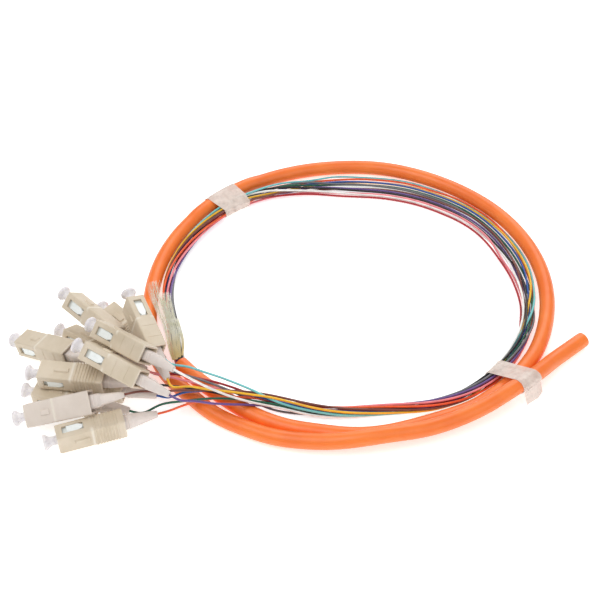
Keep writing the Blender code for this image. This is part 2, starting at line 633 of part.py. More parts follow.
def yarn_mesh(name, lock):
    """A flat lock of yarn, tapering to its end."""
    path = smooth_path(lock, 9) + (0, 0, JACKET_DIAMETER / MM)
    rings = []
    for i, point in enumerate(path):
        ahead = path[min(i + 1, len(path) - 1)] - path[max(i - 1, 0)]
        side = Vector((ahead[1], -ahead[0], 0)).normalized()
        share = i / (len(path) - 1)
        width = YARN_WIDTH * (0.35 + 0.75 * math.sin(math.pi * (0.12 + 0.78 * share)))
        ring = []
        for k in range(8):
            angle = 2 * math.pi * k / 8
            ring.append(
                world(point)
                + side * (width / 2 * math.cos(angle))
                + Vector((0, 0, YARN_THICKNESS / 2 * math.sin(angle)))
            )
        rings.append(ring)
    return mesh_of_rings(name, rings)


def main():
    clear_scene()
    jacket = jacket_path(JACKET_STEP / MM)
    tube("cable_jacket", jacket, JACKET_DIAMETER, 12, "jacket")
    fibres = fibre_lines(jacket)
    sleeve, core, cap = sleeve_mesh(), core_mesh(), cap_mesh()
    for mesh, finish in ((sleeve, "sleeve"), (core, "core"), (cap, "cap")):
        mesh.materials.clear()
        mesh.materials.append(material(finish))
        mesh.set_sharp_from_angle(angle=math.radians(35))
    for points, channel in zip(fibres, CHANNELS):
        colour = channel[0]
        tube(f"fibre_{colour}", points, FIBRE_DIAMETER, 8, colour)
        matrix = connector_matrix(*channel[3:7])
        link(f"grip_sleeve_{colour}", sleeve, "sleeve", matrix)
        link(f"plug_core_{colour}", core, "core", matrix)
        link(f"dust_cap_{colour}", cap, "cap", matrix)
    for name, bearing, width, flag in TAPE_TIES:
        link(name, tape_mesh(name, bearing, width, flag, jacket, fibres), "tape")
    for i, lock in enumerate(YARN_LOCKS):
        link(f"aramid_yarn_{i + 1}", yarn_mesh(f"aramid_yarn_{i + 1}", lock), "yarn")


main()
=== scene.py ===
"""Looks for a twelve-fibre breakout cable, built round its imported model.

Laid out as an add-on: sizes and colours are properties, each group of pieces has its
own operator, and the panel in the 3D view's sidebar lists them. Run as a script, it
makes every piece in order. Routes and places are in millimetres from the centre of the
cable's ring and become metres in the part's frame when a surface is made.
"""

import math

import bpy
import numpy as np
from bpy.props import FloatProperty, FloatVectorProperty, IntProperty, PointerProperty
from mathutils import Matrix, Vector


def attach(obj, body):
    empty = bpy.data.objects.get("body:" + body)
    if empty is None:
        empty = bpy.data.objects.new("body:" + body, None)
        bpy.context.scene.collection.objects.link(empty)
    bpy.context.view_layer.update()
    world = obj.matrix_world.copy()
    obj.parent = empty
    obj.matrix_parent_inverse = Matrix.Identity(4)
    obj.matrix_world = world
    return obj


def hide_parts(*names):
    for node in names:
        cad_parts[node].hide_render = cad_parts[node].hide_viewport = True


bl_info = {
    "name": "Fibre breakout cable",
    "version": (1, 0, 0),
    "blender": (4, 5, 0),
    "location": "View3D > Sidebar > Breakout",
    "description": "Surfaces and finishes of a coiled fibre breakout cable",
    "category": "Object",
}

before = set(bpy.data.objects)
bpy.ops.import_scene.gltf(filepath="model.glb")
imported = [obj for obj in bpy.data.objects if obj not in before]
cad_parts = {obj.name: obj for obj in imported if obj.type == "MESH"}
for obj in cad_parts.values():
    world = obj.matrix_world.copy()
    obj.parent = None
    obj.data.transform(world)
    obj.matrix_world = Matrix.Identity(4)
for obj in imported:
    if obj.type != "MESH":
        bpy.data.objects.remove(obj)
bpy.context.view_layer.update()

MM = 0.001
RING_CENTRE = np.array((21.231, 4.771, 0.0))  # mm, the ring's centre in the part's frame

# The jacket's route from its cut end, round the ring to the stripped end
JACKET_ROUTE = (
    (91.0, -32.0, 3.1), (84.5, -37.4, 3.1), (77.5, -43.8, 3.9), (69.2, -53.2, 6.8),
    (59.4, -61.8, 8.4), (47.6, -70.2, 8.0), (36.0, -76.2, 7.4), (24.6, -80.4, 7.3),
    (13.4, -83.0, 7.8), (2.5, -84.9, 7.6), (-8.3, -85.4, 6.3), (-19.2, -84.2, 5.0),
    (-30.1, -82.0, 4.4), (-41.4, -76.8, 3.3), (-52.8, -70.2, 3.1), (-63.0, -60.6, 3.1),
    (-72.0, -50.5, 3.1), (-78.2, -37.5, 3.1), (-81.2, -24.0, 3.1), (-82.0, -10.0, 3.1),
    (-79.9, 10.5, 3.1), (-73.3, 29.5, 3.1), (-67.2, 40.0, 3.1), (-60.0, 49.3, 3.1),
    (-51.2, 57.6, 3.1), (-39.8, 65.0, 3.1), (-21.0, 72.6, 3.1), (-2.6, 75.6, 3.1),
    (15.7, 74.8, 3.1), (33.8, 69.0, 3.1), (50.8, 58.6, 3.1), (64.5, 45.0, 3.1),
    (74.2, 28.5, 3.1), (79.4, 10.7, 3.1), (80.2, -7.2, 3.1), (77.0, -24.5, 3.1),
    (70.6, -40.0, 3.1), (63.2, -50.8, 3.1), (55.2, -59.0, 3.1), (43.2, -67.4, 3.1),
    (31.0, -72.6, 3.1), (19.5, -76.6, 3.1), (8.2, -79.4, 3.1), (-2.8, -80.0, 3.1),
    (-13.7, -78.6, 3.1), (-24.7, -76.4, 3.1), (-41.5, -68.4, 3.1), (-52.5, -59.8, 3.1),
    (-60.5, -52.6, 3.1), (-67.3, -45.0, 3.1),
)

# The bundle's turn: bearing in degrees, radius and height of its middle, and spread
BUNDLE_TURN = (
    (-146.6, 80.7, 3.1, 0.0), (-153, 78.2, 3.1, 0.0), (-162, 75.8, 3.0, 0.0),
    (-172, 75.6, 2.8, 0.1), (-184, 75.0, 2.6, 0.1), (-198, 73.4, 2.6, 0.1),
    (-212, 71.6, 2.9, 0.0), (-224, 70.2, 3.2, 0.0), (-234, 68.8, 2.9, 0.1),
    (-252, 65.6, 2.7, 0.5), (-270, 64.3, 2.6, 0.9), (-290, 66.3, 2.6, 1.0),
    (-310, 69.0, 2.6, 1.0), (-328, 70.6, 2.6, 0.8), (-346, 71.4, 2.6, 0.7),
    (-367, 73.0, 2.6, 0.4), (-380, 73.8, 2.8, 0.2), (-392, 74.1, 3.1, 0.0),
    (-402, 74.2, 3.4, 0.0), (-416, 73.5, 3.2, 0.0), (-430, 70.6, 2.8, 0.0),
    (-440, 68.6, 2.7, 0.0), (-452, 68.8, 2.7, 0.0), (-464, 70.0, 2.9, 0.0),
    (-473, 72.0, 4.0, 0.0),
)

# Colour, place in the bundle, rank in its spread, front face's centre, bearing of the
# rear end, rise and roll in degrees, and whether the housing is the ribbed kind
CHANNELS = (
    ("slate", 2, 6, (-110.45, -24.49, 17.87), -41, -6.4, -41, False),
    ("white", 4, 1, (-96.5, -45.5, 23.2), -37, 4, -48, False),
    ("yellow", 6, 9, (-85.64, -29.81, 21.78), -65, -10, 75, False),
    ("rose", 0, 2, (-129.5, -36.0, 5.8), -29, 14, -2, False),
    ("red", 9, 0, (-112.5, -31.5, 5.5), -30, 0, -27, True),
    ("violet", 1, 4, (-99.8, -57.1, 24.1), -31, -4, -49, False),
    ("black", 3, 3, (-118.5, -58.0, 12.1), -7, 0, 3, True),
    ("green", 10, 7, (-121.0, -60.0, 3.75), -14, 0, 0, True),
    ("brown", 7, 5, (-121.5, -74.0, 6.8), 5, 13, 43, False),
    ("orange", 8, 10, (-109.5, -83.5, 4.8), 18, 1, 89, True),
    ("aqua", 5, 11, (-97.55, -21.45, 7.28), -48.2, 5.6, 10.5, True),
    ("blue", 11, 8, (-111.5, -52.5, 3.75), -14, 0, 0, True),
)
TAPE_TIES = (("tape_tie_far", 136.0, 15.0, 0.0), ("tape_tie_near", -42.0, 9.5, 6.0))
YARN_LOCKS = (
    ((-69.2, -45.3, 6.0), (-71.0, -38.5, 6.3), (-72.4, -31.0, 6.6), (-75.4, -22.0, 6.9),
     (-79.3, -11.5, 6.9), (-81.4, -3.0, 6.9)),
    ((-67.9, -44.2, 6.0), (-68.6, -37.0, 6.3), (-69.8, -30.0, 6.4), (-72.2, -21.0, 6.5),
     (-74.8, -9.0, 6.5)),
    ((-66.6, -43.1, 6.0), (-66.2, -36.0, 6.3), (-67.2, -29.5, 6.4), (-69.0, -20.0, 6.4),
     (-70.6, -10.0, 6.4)),
)
YARN_HALF_WIDTHS = (2.1, 1.5, 0.6)  # mm, of each lock
YARN_LENGTHS = (1.0, 1.0, 0.6)  # share of each lock's route that its longest strands reach
YARN_LEANS = (0.0, -1.1, -1.6)  # mm that each lock's tip leans outwards from its route

# Sizes that the routes above are laid out with, in mm
JACKET_DIAMETER = 6.2
FIBRE_DIAMETER = 0.9
FIBRE_SPACE = FIBRE_DIAMETER + 0.26
FIBRE_OFF_FLOOR = 0.15
FIBRE_STATIONS = 39
FAN_POINTS = 9
TWIST_TURNS = 2.6
SPREAD_SPACE = FIBRE_SPACE + 0.05
ROPE_RADIUS = 1.6 * FIBRE_SPACE
CORE_RADIUS = 0.58 * FIBRE_SPACE
FAN_REACH = 20.0
FAN_RISE = 6.5  # hump over the ring for a boot on the floor
FAN_SAG = 0.35  # share of a boot's own height by which its hump is lower
SECTION_ROUNDS, EASE_ROUNDS = 60, 300
TAPE_LEAD = 7.0
TAPE_UNDER = 0.6  # clearance, tape and its gap to the floor
SLEEVE = (25.0, 9.0, 7.4)  # length, width over the windows, height over the keys
SLEEVE_WALL = 0.9
BOOT_LENGTH = 12.5
BOOT_WAIST = 0.45  # share of its length at which the boot turns into a cone
BOOT_BASE_DIAMETER = 4.6
SLEEVE_TRAVEL = 1.5
PLUG_GAP = 0.3  # between the sleeve's wall and the plug's frame
CORE_BEHIND, BOOT_AHEAD = 1.8, 0.6  # how far a fibre runs into the jacket and its boot
JACKET_GAP = 0.25  # between a fibre and the jacket
SOLID_GAP = 0.3  # between a fibre and a connector or the jacket, in the last easing
FIBRE_PUSH, SOLID_PUSH = 0.22, 0.35  # share of an overlap that one round takes away
NEAR = 2.5  # mm past its limit at which a segment is still looked at
LOOK_EVERY = 15  # rounds
DRIFT_SMOOTHING = 0.1
PLUG_WIDTH, PLUG_HEIGHT = (side - 2 * (SLEEVE_WALL + PLUG_GAP) for side in SLEEVE[1:])
PATH_STEP = 1.6  # between the jacket's rings
JACKET_SIDES = 28
FIBRE_ROWS, FIBRE_SIDES = 300, 12
TAPE_COUNT, TAPE_SLICES = 120, 27  # points round a tape tie, and rings across it
YARN_RADIUS = 0.05
MOULDED_SMOOTH = 35  # degrees between faces above which a moulded edge stays sharp

# Places on a housing, in mm behind its front face
WINDOW = (2.4, 10.2, 1.6)  # front, rear and half its height
PLAIN_KEY_AND_STEP = (6.3, 9.8, 10.9)  # the key bar's front and rear, and the grip's step
RIBBED_KEY_AND_STEP = (6.0, 11.7, 12.7)
RIM = 0.35  # length over which the front and the rear are rounded in
KEY_EDGE = 0.25
KEY_SIDES = (0.85, 1.1)  # from the middle, where the key bar begins to fall and ends
RIB_START, RIB_PITCH, RIB_COUNT = 13.4, 1.15, 8
RIB_EDGES = ((0.0, 0.16), (0.55, 0.71))  # where a rib rises and falls, from its own start
SEAMS = (15.0, 20.4)
SEAM_EDGES = ((0.0, 0.1), (0.22, 0.32))
PAD_MIDDLE = -7.05  # of a latch, along its connector's X axis
GREYER_HOUSING = ("moulded pale grey-beige PBT", ("DFD3C8", "D6C9BD"))

# The camera, worked out from the widths of the cable in the photograph
CAMERA_DOWN = 45.2  # degrees, looking along +Y
CAMERA_AIM = (-21.0, -7.0, 0.0)  # mm from the ring's centre
CAMERA_DISTANCE = 493.0  # mm
CAMERA_FOCAL = 1196.0 / 600  # share of the picture's width
SENSOR_WIDTH = 36.0
FLOOR_REACH = 6.0  # metres from the middle of the floor to its edge

FIBRE_HEX = {
    "slate": "6F7074", "white": "F4F3EF", "yellow": "F7BE2C", "rose": "F28C93",
    "red": "A8141F", "violet": "6A4F90", "black": "1A1517", "green": "1C6048",
    "brown": "7A4338", "orange": "F2602E", "aqua": "7BD0D2", "blue": "2C5AA8",
}


def linear(hex_colour):
    """An sRGB hex value as linear red, green, blue and alpha."""
    values = [int(hex_colour[i : i + 2], 16) / 255 for i in (0, 2, 4)]
    return [v / 12.92 if v < 0.04045 else ((v + 0.055) / 1.055) ** 2.4 for v in values] + [1.0]


def unit(vectors):
    """Vectors over their own lengths."""
    return vectors / np.linalg.norm(vectors, axis=-1, keepdims=True)


def turn_angles(count):
    """Angles of count places, evenly round a circle."""
    return np.linspace(0, 2 * math.pi, count, endpoint=False)


def smooth_step(value, low, high):
    """Nothing up to low, one from high on, and 3t^2 - 2t^3 between."""
    t = np.clip((value - low) / (high - low), 0, 1)
    return t * t * (3 - 2 * t)


def plateau(value, rise, fall):
    """A smooth step up over one pair of values and down again over another."""
    return smooth_step(value, *rise) * (1 - smooth_step(value, *fall))


# Routes


def natural_spline(values, at, where):
    """The natural cubic through values at the parameters at, read at where.

    Second derivatives solve the usual tridiagonal system, and each stretch is the
    cubic a*p + b*q + ((a^3 - a)*p'' + (b^3 - b)*q'') * h^2 / 6.
    """
    values = np.asarray(values, float)
    step = np.diff(at)
    count = len(at)
    system = np.eye(count)
    right = np.zeros_like(values)
    for i in range(1, count - 1):
        system[i, i - 1 : i + 2] = step[i - 1], 2 * (step[i - 1] + step[i]), step[i]
        after = (values[i + 1] - values[i]) / step[i]
        right[i] = 6 * (after - (values[i] - values[i - 1]) / step[i - 1])
    bend = np.linalg.solve(system, right)
    k = np.clip(np.searchsorted(at, where) - 1, 0, count - 2)
    h = step[k][:, None]
    a = (at[k + 1] - where)[:, None] / h
    b = 1 - a
    cubic = ((a**3 - a) * bend[k] + (b**3 - b) * bend[k + 1]) * h**2 / 6
    return a * values[k] + b * values[k + 1] + cubic


def run_along(points):
    """Distance along a path at each of its points."""
    return np.concatenate([[0], np.cumsum(np.linalg.norm(np.diff(points, axis=0), axis=1))])


def path_length(points):
    return float(run_along(np.asarray(points, float))[-1])


def smooth_path(points, count):
    """count points, evenly spaced, on the natural cubic through a route's points."""
    points = np.asarray(points, float)
    at = run_along(points)
    dense = natural_spline(points, at, np.linspace(0, at[-1], 40 * len(points)))
    run = run_along(dense)
    even = np.linspace(0, run[-1], count)
    return np.stack([np.interp(even, run, dense[:, i]) for i in range(3)], axis=1)


def tape_lift(points):
    """How far each point's strand is held off the floor by a tape beneath it.

    A smooth step of the distance along the ring from the tape's edge, full to one
    lead beyond it and nothing after two.
    """
    bearing = np.degrees(np.arctan2(points[:, 1], points[:, 0]))
    radius = np.hypot(points[:, 0], points[:, 1])
    lift = np.zeros(len(points))
    for _, middle, width, _ in TAPE_TIES:
        off = np.abs((bearing - middle + 180) % 360 - 180)
        beyond = np.radians(off) * radius - width / 2 - TAPE_LEAD
        lift = np.maximum(lift, smooth_step(1 - beyond / TAPE_LEAD, 0, 1))
    return lift * TAPE_UNDER


def jacket_path(step=PATH_STEP):
    path = smooth_path(JACKET_ROUTE, round(path_length(JACKET_ROUTE) / step) + 1)
    path[:, 2] = np.maximum(path[:, 2], JACKET_DIAMETER / 2 + tape_lift(path))
    return path


def crossings(path, bearing):
    """Radius and height of each place where a path crosses a bearing in degrees."""
    turned = math.radians(bearing)
    across = path[:, 1] * math.cos(turned) - path[:, 0] * math.sin(turned)
    along = path[:, 0] * math.cos(turned) + path[:, 1] * math.sin(turned)
    hit = np.nonzero((across[:-1] * across[1:] <= 0) & (along[:-1] > 0))[0]
    t = across[hit] / (across[hit] - across[hit + 1])
    radius = along[hit] + t * (along[hit + 1] - along[hit])
    height = path[hit, 2] + t * (path[hit + 1, 2] - path[hit, 2])
    return np.stack([radius, height], axis=1)


def bundle_section(place, rank, turn, spread, height):
    """Where a fibre lies in the bundle's section: a rope of nine round three, or a row."""
    outer = place < 9
    angle = 2 * math.pi * (place / 9 if outer else (place - 9) / 3) + turn
    radius = ROPE_RADIUS if outer else CORE_RADIUS
    rope = np.array([radius * math.cos(angle), radius * math.sin(angle)])
    low = FIBRE_DIAMETER / 2 + FIBRE_OFF_FLOOR - height
    flat = np.array([(rank - 5.5) * SPREAD_SPACE, low])
    return rope * (1 - spread) + flat * spread


def ease_section(places, jackets):
    """Moves the fibres of one section apart, off the floor and clear of the jacket."""
    off_jacket = (JACKET_DIAMETER + FIBRE_DIAMETER) / 2 + JACKET_GAP
    for _ in range(SECTION_ROUNDS):
        apart = places[:, None] - places[None]
        distance = np.linalg.norm(apart, axis=2) + np.eye(len(places)) * 99
        push = np.maximum(FIBRE_SPACE - distance, 0) / distance / 2
        places = places + (apart * push[:, :, None]).sum(axis=1)
        for centre in jackets:
            away = places - centre
            reach = np.linalg.norm(away, axis=1, keepdims=True)
            places = places + away / reach * np.maximum(off_jacket - reach, 0)
        places[:, 1] = np.maximum(places[:, 1], FIBRE_DIAMETER / 2 + FIBRE_OFF_FLOOR)
    return places


def bundle_lines(jacket):
    """Each fibre's points along the turn: an array of fibres, stations and x, y, z."""
    turn = np.array(BUNDLE_TURN, float)
    bearing = np.radians(turn[:, 0])
    across = turn[:, 1] * np.array([np.cos(bearing), np.sin(bearing)])
    middle = np.stack([*across, turn[:, 2]], axis=1)
    line = smooth_path(middle, FIBRE_STATIONS)
    seen = np.unwrap(np.arctan2(line[:, 1], line[:, 0]))
    spread = np.interp(-seen, -bearing, turn[:, 3])
    lines = np.zeros((len(CHANNELS), FIBRE_STATIONS, 3))
    for i, (x, y, z) in enumerate(line):
        radius = math.hypot(x, y)
        twist = TWIST_TURNS * 2 * math.pi * i / (FIBRE_STATIONS - 1)
        section = [bundle_section(c[1], c[2], twist, spread[i], z) for c in CHANNELS]
        section = ease_section(
            np.array(section) + (radius, z), crossings(jacket, math.degrees(seen[i]))
        )
        lines[:, i, :2] = section[:, :1] * np.array([x, y]) / radius
        lines[:, i, 2] = section[:, 1]
    return lines


def connector_axes(channel):
    """Rows of a connector's frame: X out of its front, Y across, Z out of its key face."""
    bearing, rise, roll = (math.radians(a) for a in channel[4:7])
    level = np.array((math.cos(bearing), math.sin(bearing), 0.0))
    upright = np.array((0.0, 0.0, 1.0))
    rear = math.cos(rise) * level + math.sin(rise) * upright
    up = math.cos(rise) * upright - math.sin(rise) * level
    side = np.array((math.sin(bearing), -math.cos(bearing), 0.0))
    key = up * math.cos(roll) + side * math.sin(roll)
    return np.stack([-rear, np.cross(key, -rear), key])


def placed(channel, points):
    """Points in a connector's own frame as millimetres from the ring's centre."""
    return np.asarray(points, float) @ connector_axes(channel) + np.array(channel[3])


def connector_solids():
    """Round bodies that stand for the connectors: their starts, ends and radii."""
    solids = []
    for channel in CHANNELS:
        length, width, height = SLEEVE
        waist = -length - BOOT_WAIST * BOOT_LENGTH
        front, pulled, face, waist, tip = placed(
            channel,
            [(0, 0, 0), (-length - SLEEVE_TRAVEL, 0, 0), (-length, 0, 0), (waist, 0, 0),
             (0.6 - length - BOOT_LENGTH, 0, 0)],
        )
        solids.append((front, pulled, 0.6 * width))
        solids.append((face, waist, height / 2 - SLEEVE_WALL + 0.5))
        solids.append((waist, tip, BOOT_BASE_DIAMETER / 2))
    return solids


def offsets_from(points, starts, ends):
    """Vectors to the points from the nearest places of the segments, arrays alike."""
    along = ends - starts
    size = np.maximum((along**2).sum(axis=-1), 1e-9)
    t = np.clip(((points - starts) * along).sum(axis=-1) / size, 0, 1)
    return points - (starts + t[..., None] * along)


def ease_fibres(lines, solids):
    """Moves whole fibres apart and off what they pass, with both ends held.

    Each round takes four places of every segment, pushes each off the near segments
    of the other fibres and off the solids, and smooths how far the points have moved.
    """
    number, count = lines.shape[0], lines.shape[1] - 1
    first = lines.copy()
    floor = FIBRE_DIAMETER / 2 + FIBRE_OFF_FLOOR + tape_lift(lines.mean(axis=0))
    parts = np.array([0.0, 0.25, 0.5, 0.75])[None, None, :, None]
    solid_starts, solid_ends, radii = (np.array(column) for column in zip(*solids))
    between = np.full(number * count, FIBRE_SPACE)
    limit = np.concatenate([between, radii + FIBRE_DIAMETER / 2 + SOLID_GAP])
    share = np.where(np.arange(len(limit)) < number * count, FIBRE_PUSH, SOLID_PUSH)
    probe_fibre = np.repeat(np.arange(number), count * 4)
    segment_fibre = np.repeat(np.arange(number), count)
    segment_fibre = np.concatenate([segment_fibre, np.full(len(radii), -1)])
    for round_number in range(EASE_ROUNDS):
        probes = (lines[:, :-1, None] * (1 - parts) + lines[:, 1:, None] * parts).reshape(-1, 3)
        starts = np.concatenate([lines[:, :-1].reshape(-1, 3), solid_starts])
        ends = np.concatenate([lines[:, 1:].reshape(-1, 3), solid_ends])
        if round_number % LOOK_EVERY == 0:
            away = offsets_from(probes[:, None], starts[None], ends[None])
            reach = np.linalg.norm(away, axis=2) < limit + NEAR
            probe, segment = np.nonzero(reach & (probe_fibre[:, None] != segment_fibre))
        away = offsets_from(probes[probe], starts[segment], ends[segment])
        distance = np.maximum(np.linalg.norm(away, axis=1), 1e-6)
        push = np.maximum(limit[segment] - distance, 0) / distance * share[segment]
        shift = np.stack(
            [np.bincount(probe, away[:, i] * push, len(probes)) for i in range(3)], axis=1
        ).reshape(number, count, 4, 3)
        change = np.zeros_like(lines)
        change[:, :-1] += (shift * (1 - parts)).sum(axis=2)
        change[:, 1:] += (shift * parts).sum(axis=2)
        drift = lines - first
        change[:, 1:-1] += DRIFT_SMOOTHING * ((drift[:, 2:] + drift[:, :-2]) / 2 - drift[:, 1:-1])
        change[:, :1] = 0
        change[:, -2:] = 0
        lines = lines + change
        lines[:, :, 2] = np.maximum(lines[:, :, 2], floor)
    return lines


def fibre_lines():
    """Every fibre's points, round the turn and on to its boot.

    The fan is a Hermite curve from the turn's end to the boot's tip, with a hump of
    sine squared over the ring, before the whole fibre is eased.
    """
    jacket = jacket_path(10.0)
    turn_lines = bundle_lines(jacket)
    start = turn_lines[:, -1]
    ahead = unit(turn_lines[:, -1] - turn_lines[:, -2])
    t = np.linspace(0, 1, FAN_POINTS)[:, None]
    lines = []
    for f, channel in enumerate(CHANNELS):
        rear = -connector_axes(channel)[0]
        end = placed(channel, (-SLEEVE[0] - BOOT_LENGTH - 0.3, 0, 0))
        reach = min(FAN_REACH, 0.9 * np.linalg.norm(end - start[f]))
        curve = (
            (2 * t**3 - 3 * t**2 + 1) * start[f]
            + (t**3 - 2 * t**2 + t) * ahead[f] * reach
            + (-2 * t**3 + 3 * t**2) * end
            + (t**3 - t**2) * -rear * reach
        )
        curve[:, 2] += (FAN_RISE - FAN_SAG * end[2]) * np.sin(math.pi * t[:, 0]) ** 2
        curve[-2] = end + rear * np.linalg.norm(curve[-1] - curve[-2])
        lines.append(np.concatenate([turn_lines[f], curve[1:]]))
    solids = connector_solids()
    solids += [(a, b, JACKET_DIAMETER / 2) for a, b in zip(jacket[:-1], jacket[1:])]
    return ease_fibres(np.array(lines), solids)


# Surfaces


def grid_faces(rows, columns, keep=None):
    """Quads of a grid that closes round its columns, for the rows and columns kept."""
    r, c = np.meshgrid(np.arange(rows - 1), np.arange(columns), indexing="ij")
    if keep is not None:
        r, c = r[keep], c[keep]
    r, c = r.ravel() * columns, c.ravel()
    n = (c + 1) % columns
    return np.stack([r + c, r + n, r + columns + n, r + columns + c], axis=1)


def closed_grid(rows, columns):
    """A grid's faces, with the two that close its first and last rings."""
    first = list(range(columns))[::-1]
    last = [(rows - 1) * columns + i for i in range(columns)]
    return grid_faces(rows, columns).tolist() + [first, last]


def facing_out(points, faces):
    """The faces, all turned round where the volume that they enclose comes out negative.

    The volume is a sixth of the sum over triangles of a . (b x c).
    """
    fans = [(face[0], face[i], face[i + 1]) for face in faces for i in range(1, len(face) - 1)]
    a, b, c = (points[corner] for corner in np.array(fans).T)
    volume = (a * np.cross(b, c)).sum()
    return [face[::-1] for face in faces] if volume < 0 else faces


def make_surface(
    name, points, faces, finish, body="cable", smooth=40.0, uv=None, paint=None,
    replaces=None,
):
    """A mesh object of points in mm from the ring's centre, at the part's own origin.

    paint is one value a point, kept as an attribute of the mesh: how worn a housing is,
    with a painted highlight along its grip's step, or how far along its lock a yarn strand
    has come.
    """
    mesh = bpy.data.meshes.new(name)
    points = np.asarray(points, float)
    faces = facing_out(points, [[int(i) for i in face] for face in faces])
    mesh.from_pydata(((points + RING_CENTRE) * MM).tolist(), [], faces)
    if uv is not None:
        layer = mesh.uv_layers.new(name="along")
        index = np.empty(len(mesh.loops), np.int32)
        mesh.loops.foreach_get("vertex_index", index)
        layer.data.foreach_set("uv", np.asarray(uv, np.float32)[index].ravel())
    if paint is not None:
        attribute = mesh.attributes.new("tint_mask", "FLOAT", "POINT")
        attribute.data.foreach_set("value", np.asarray(paint, np.float32))
    mesh.validate()
    mesh.polygons.foreach_set("use_smooth", [True] * len(mesh.polygons))
    mesh.set_sharp_from_angle(angle=math.radians(smooth))
    for one in finish if isinstance(finish, (list, tuple)) else [finish]:
        mesh.materials.append(one)
    thing = bpy.data.objects.new(name, mesh)
    bpy.context.collection.objects.link(thing)
    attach(thing, body)
    if replaces:
        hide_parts(replaces)
    return thing


def level_frames(path):
    """Tangents of a path, and the level side and the up of each point's ring."""
    tangent = unit(np.gradient(path, axis=0))
    side = unit(np.cross(tangent, (0.0, 0.0, 1.0)))
    return tangent, side, np.cross(side, tangent)


def rings_round(path, side, up, radius, count):
    """Rings round a path's points: path + radius * (cos a * side + sin a * up)."""
    angle = turn_angles(count)[:, None]
    ring = np.cos(angle) * side[..., None, :] + np.sin(angle) * up[..., None, :]
    return path[..., None, :] + radius * ring


def tube(path, radius, sides):
    """A round strand along a path; its UV is the distance along and the share of the turn."""
    _, side, up = level_frames(path)
    points = rings_round(path, side, -up, radius, sides)
    share = turn_angles(sides) / (2 * math.pi)
    uv = np.stack(np.broadcast_arrays(run_along(path)[:, None], share[None]), axis=2)
    return points.reshape(-1, 3), uv.reshape(-1, 2)


# Finishes


def add_node(tree, kind, values=None, links=None, **settings):
    """Adds a node, sets its properties and sockets, and links outputs to its inputs."""
    made = tree.nodes.new(kind)
    for name, value in settings.items():
        setattr(made, name, value)
    for name, value in (values or {}).items():
        made.inputs[name].default_value = value
    for name, (other, output) in (links or {}).items():
        tree.links.new(other.outputs[output], made.inputs[name])
    return made


def new_finish(name, **sockets):
    """A Principled material with constant sockets, its tree and its shader."""
    made = bpy.data.materials.new(name)
    made.use_nodes = True
    tree = made.node_tree
    shader = tree.nodes["Principled BSDF"]
    for socket, value in sockets.items():
        shader.inputs[socket.replace("_", " ")].default_value = value
    return made, tree, shader


RANGE_SOCKETS = ("From Min", "From Max", "To Min", "To Max")


def mottled(tree, shader, coords, tones, size_mm, contrast=(0.35, 0.65), detail=4.0, rough=0.55):
    """Drives the base colour between two linear tones, light and dark, by a soft noise."""
    values = {"Scale": 1 / (size_mm * MM), "Detail": detail, "Roughness": rough}
    noise = add_node(tree, "ShaderNodeTexNoise", values, {"Vector": coords})
    ramp = add_node(tree, "ShaderNodeValToRGB", links={"Fac": (noise, "Fac")})
    for stop, position, tone in zip(ramp.color_ramp.elements, contrast, tones[::-1]):
        stop.position, stop.color = position, tone
    tree.links.new(ramp.outputs["Color"], shader.inputs["Base Color"])
    return ramp, "Color"


def uneven(tree, shader, socket, coords, span, size_mm, contrast=(0.3, 0.7), rough=0.5):
    """Drives one of the shader's sockets over a span of values by a noise."""
    values = {"Scale": 1 / (size_mm * MM), "Detail": 3.0, "Roughness": rough}
    noise = add_node(tree, "ShaderNodeTexNoise", values, {"Vector": coords})
    values = dict(zip(RANGE_SOCKETS, (*contrast, *span)))
    spread = add_node(tree, "ShaderNodeMapRange", values, {"Value": (noise, "Fac")})
    tree.links.new(spread.outputs["Result"], shader.inputs[socket])


def fine_relief(tree, shader, coords, size_mm, depth_mm, strength):
    """Bump from a noise whose grains are size_mm apart and depth_mm deep."""
    values = {"Scale": 1 / (size_mm * MM), "Detail": 2.0, "Roughness": 0.5}
    noise = add_node(tree, "ShaderNodeTexNoise", values, {"Vector": coords})
    values = {"Strength": strength, "Distance": depth_mm * MM}
    bump = add_node(tree, "ShaderNodeBump", values, {"Height": (noise, "Fac")})
    tree.links.new(bump.outputs["Normal"], shader.inputs["Normal"])


def tinted_by_mask(tree, shader, colour, tint, fade=None):
    """Mixes a tint into the base colour by a value kept in an attribute of the mesh: wear and
    a painted highlight on a housing, the run along its lock on a yarn strand.

    fade, where given, holds two values of the attribute and the tint's share at each.
    """
    share = (add_node(tree, "ShaderNodeAttribute", attribute_name="tint_mask"), "Fac")
    if fade:
        values = dict(zip(RANGE_SOCKETS, fade))
        share = (add_node(tree, "ShaderNodeMapRange", values, {"Value": share}), "Result")
    links = {0: share, 6: colour}
    mix = add_node(tree, "ShaderNodeMix", {7: linear(tint)}, links, data_type="RGBA")
    tree.links.new(mix.outputs[2], shader.inputs["Base Color"])


def plain_finish(name, tones, tone_mm, gloss, gloss_mm, relief=None, **sockets):
    """A finish mottled between two tones, with uneven gloss and fine relief.

    tone_mm and gloss_mm are how far apart the patches lie. relief is the grains'
    distance and depth in mm, and the bump's strength. Also returns what a finish needs
    to add more: the tree, the shader, the coordinates and the colour.
    """
    made, tree, shader = new_finish(name, **sockets)
    coords = (add_node(tree, "ShaderNodeTexCoord"), "Object")
    colour = mottled(tree, shader, coords, [linear(tone) for tone in tones], tone_mm)
    uneven(tree, shader, "Roughness", coords, gloss, gloss_mm)
    if relief:
        fine_relief(tree, shader, coords, *relief)
    return made, tree, shader, coords, colour


def jacket_finish():
    """Extruded low-smoke compound: a soft satin skin with the ripple of the core."""
    return plain_finish(
        "extruded low-smoke jacket", ("FF8436", "F6762C"), 14.0, (0.3, 0.42), 6.0,
        (1.1, 0.05, 0.5), Subsurface_Weight=0.08, Subsurface_Radius=(0.002, 0.0008, 0.0004),
    )[0]


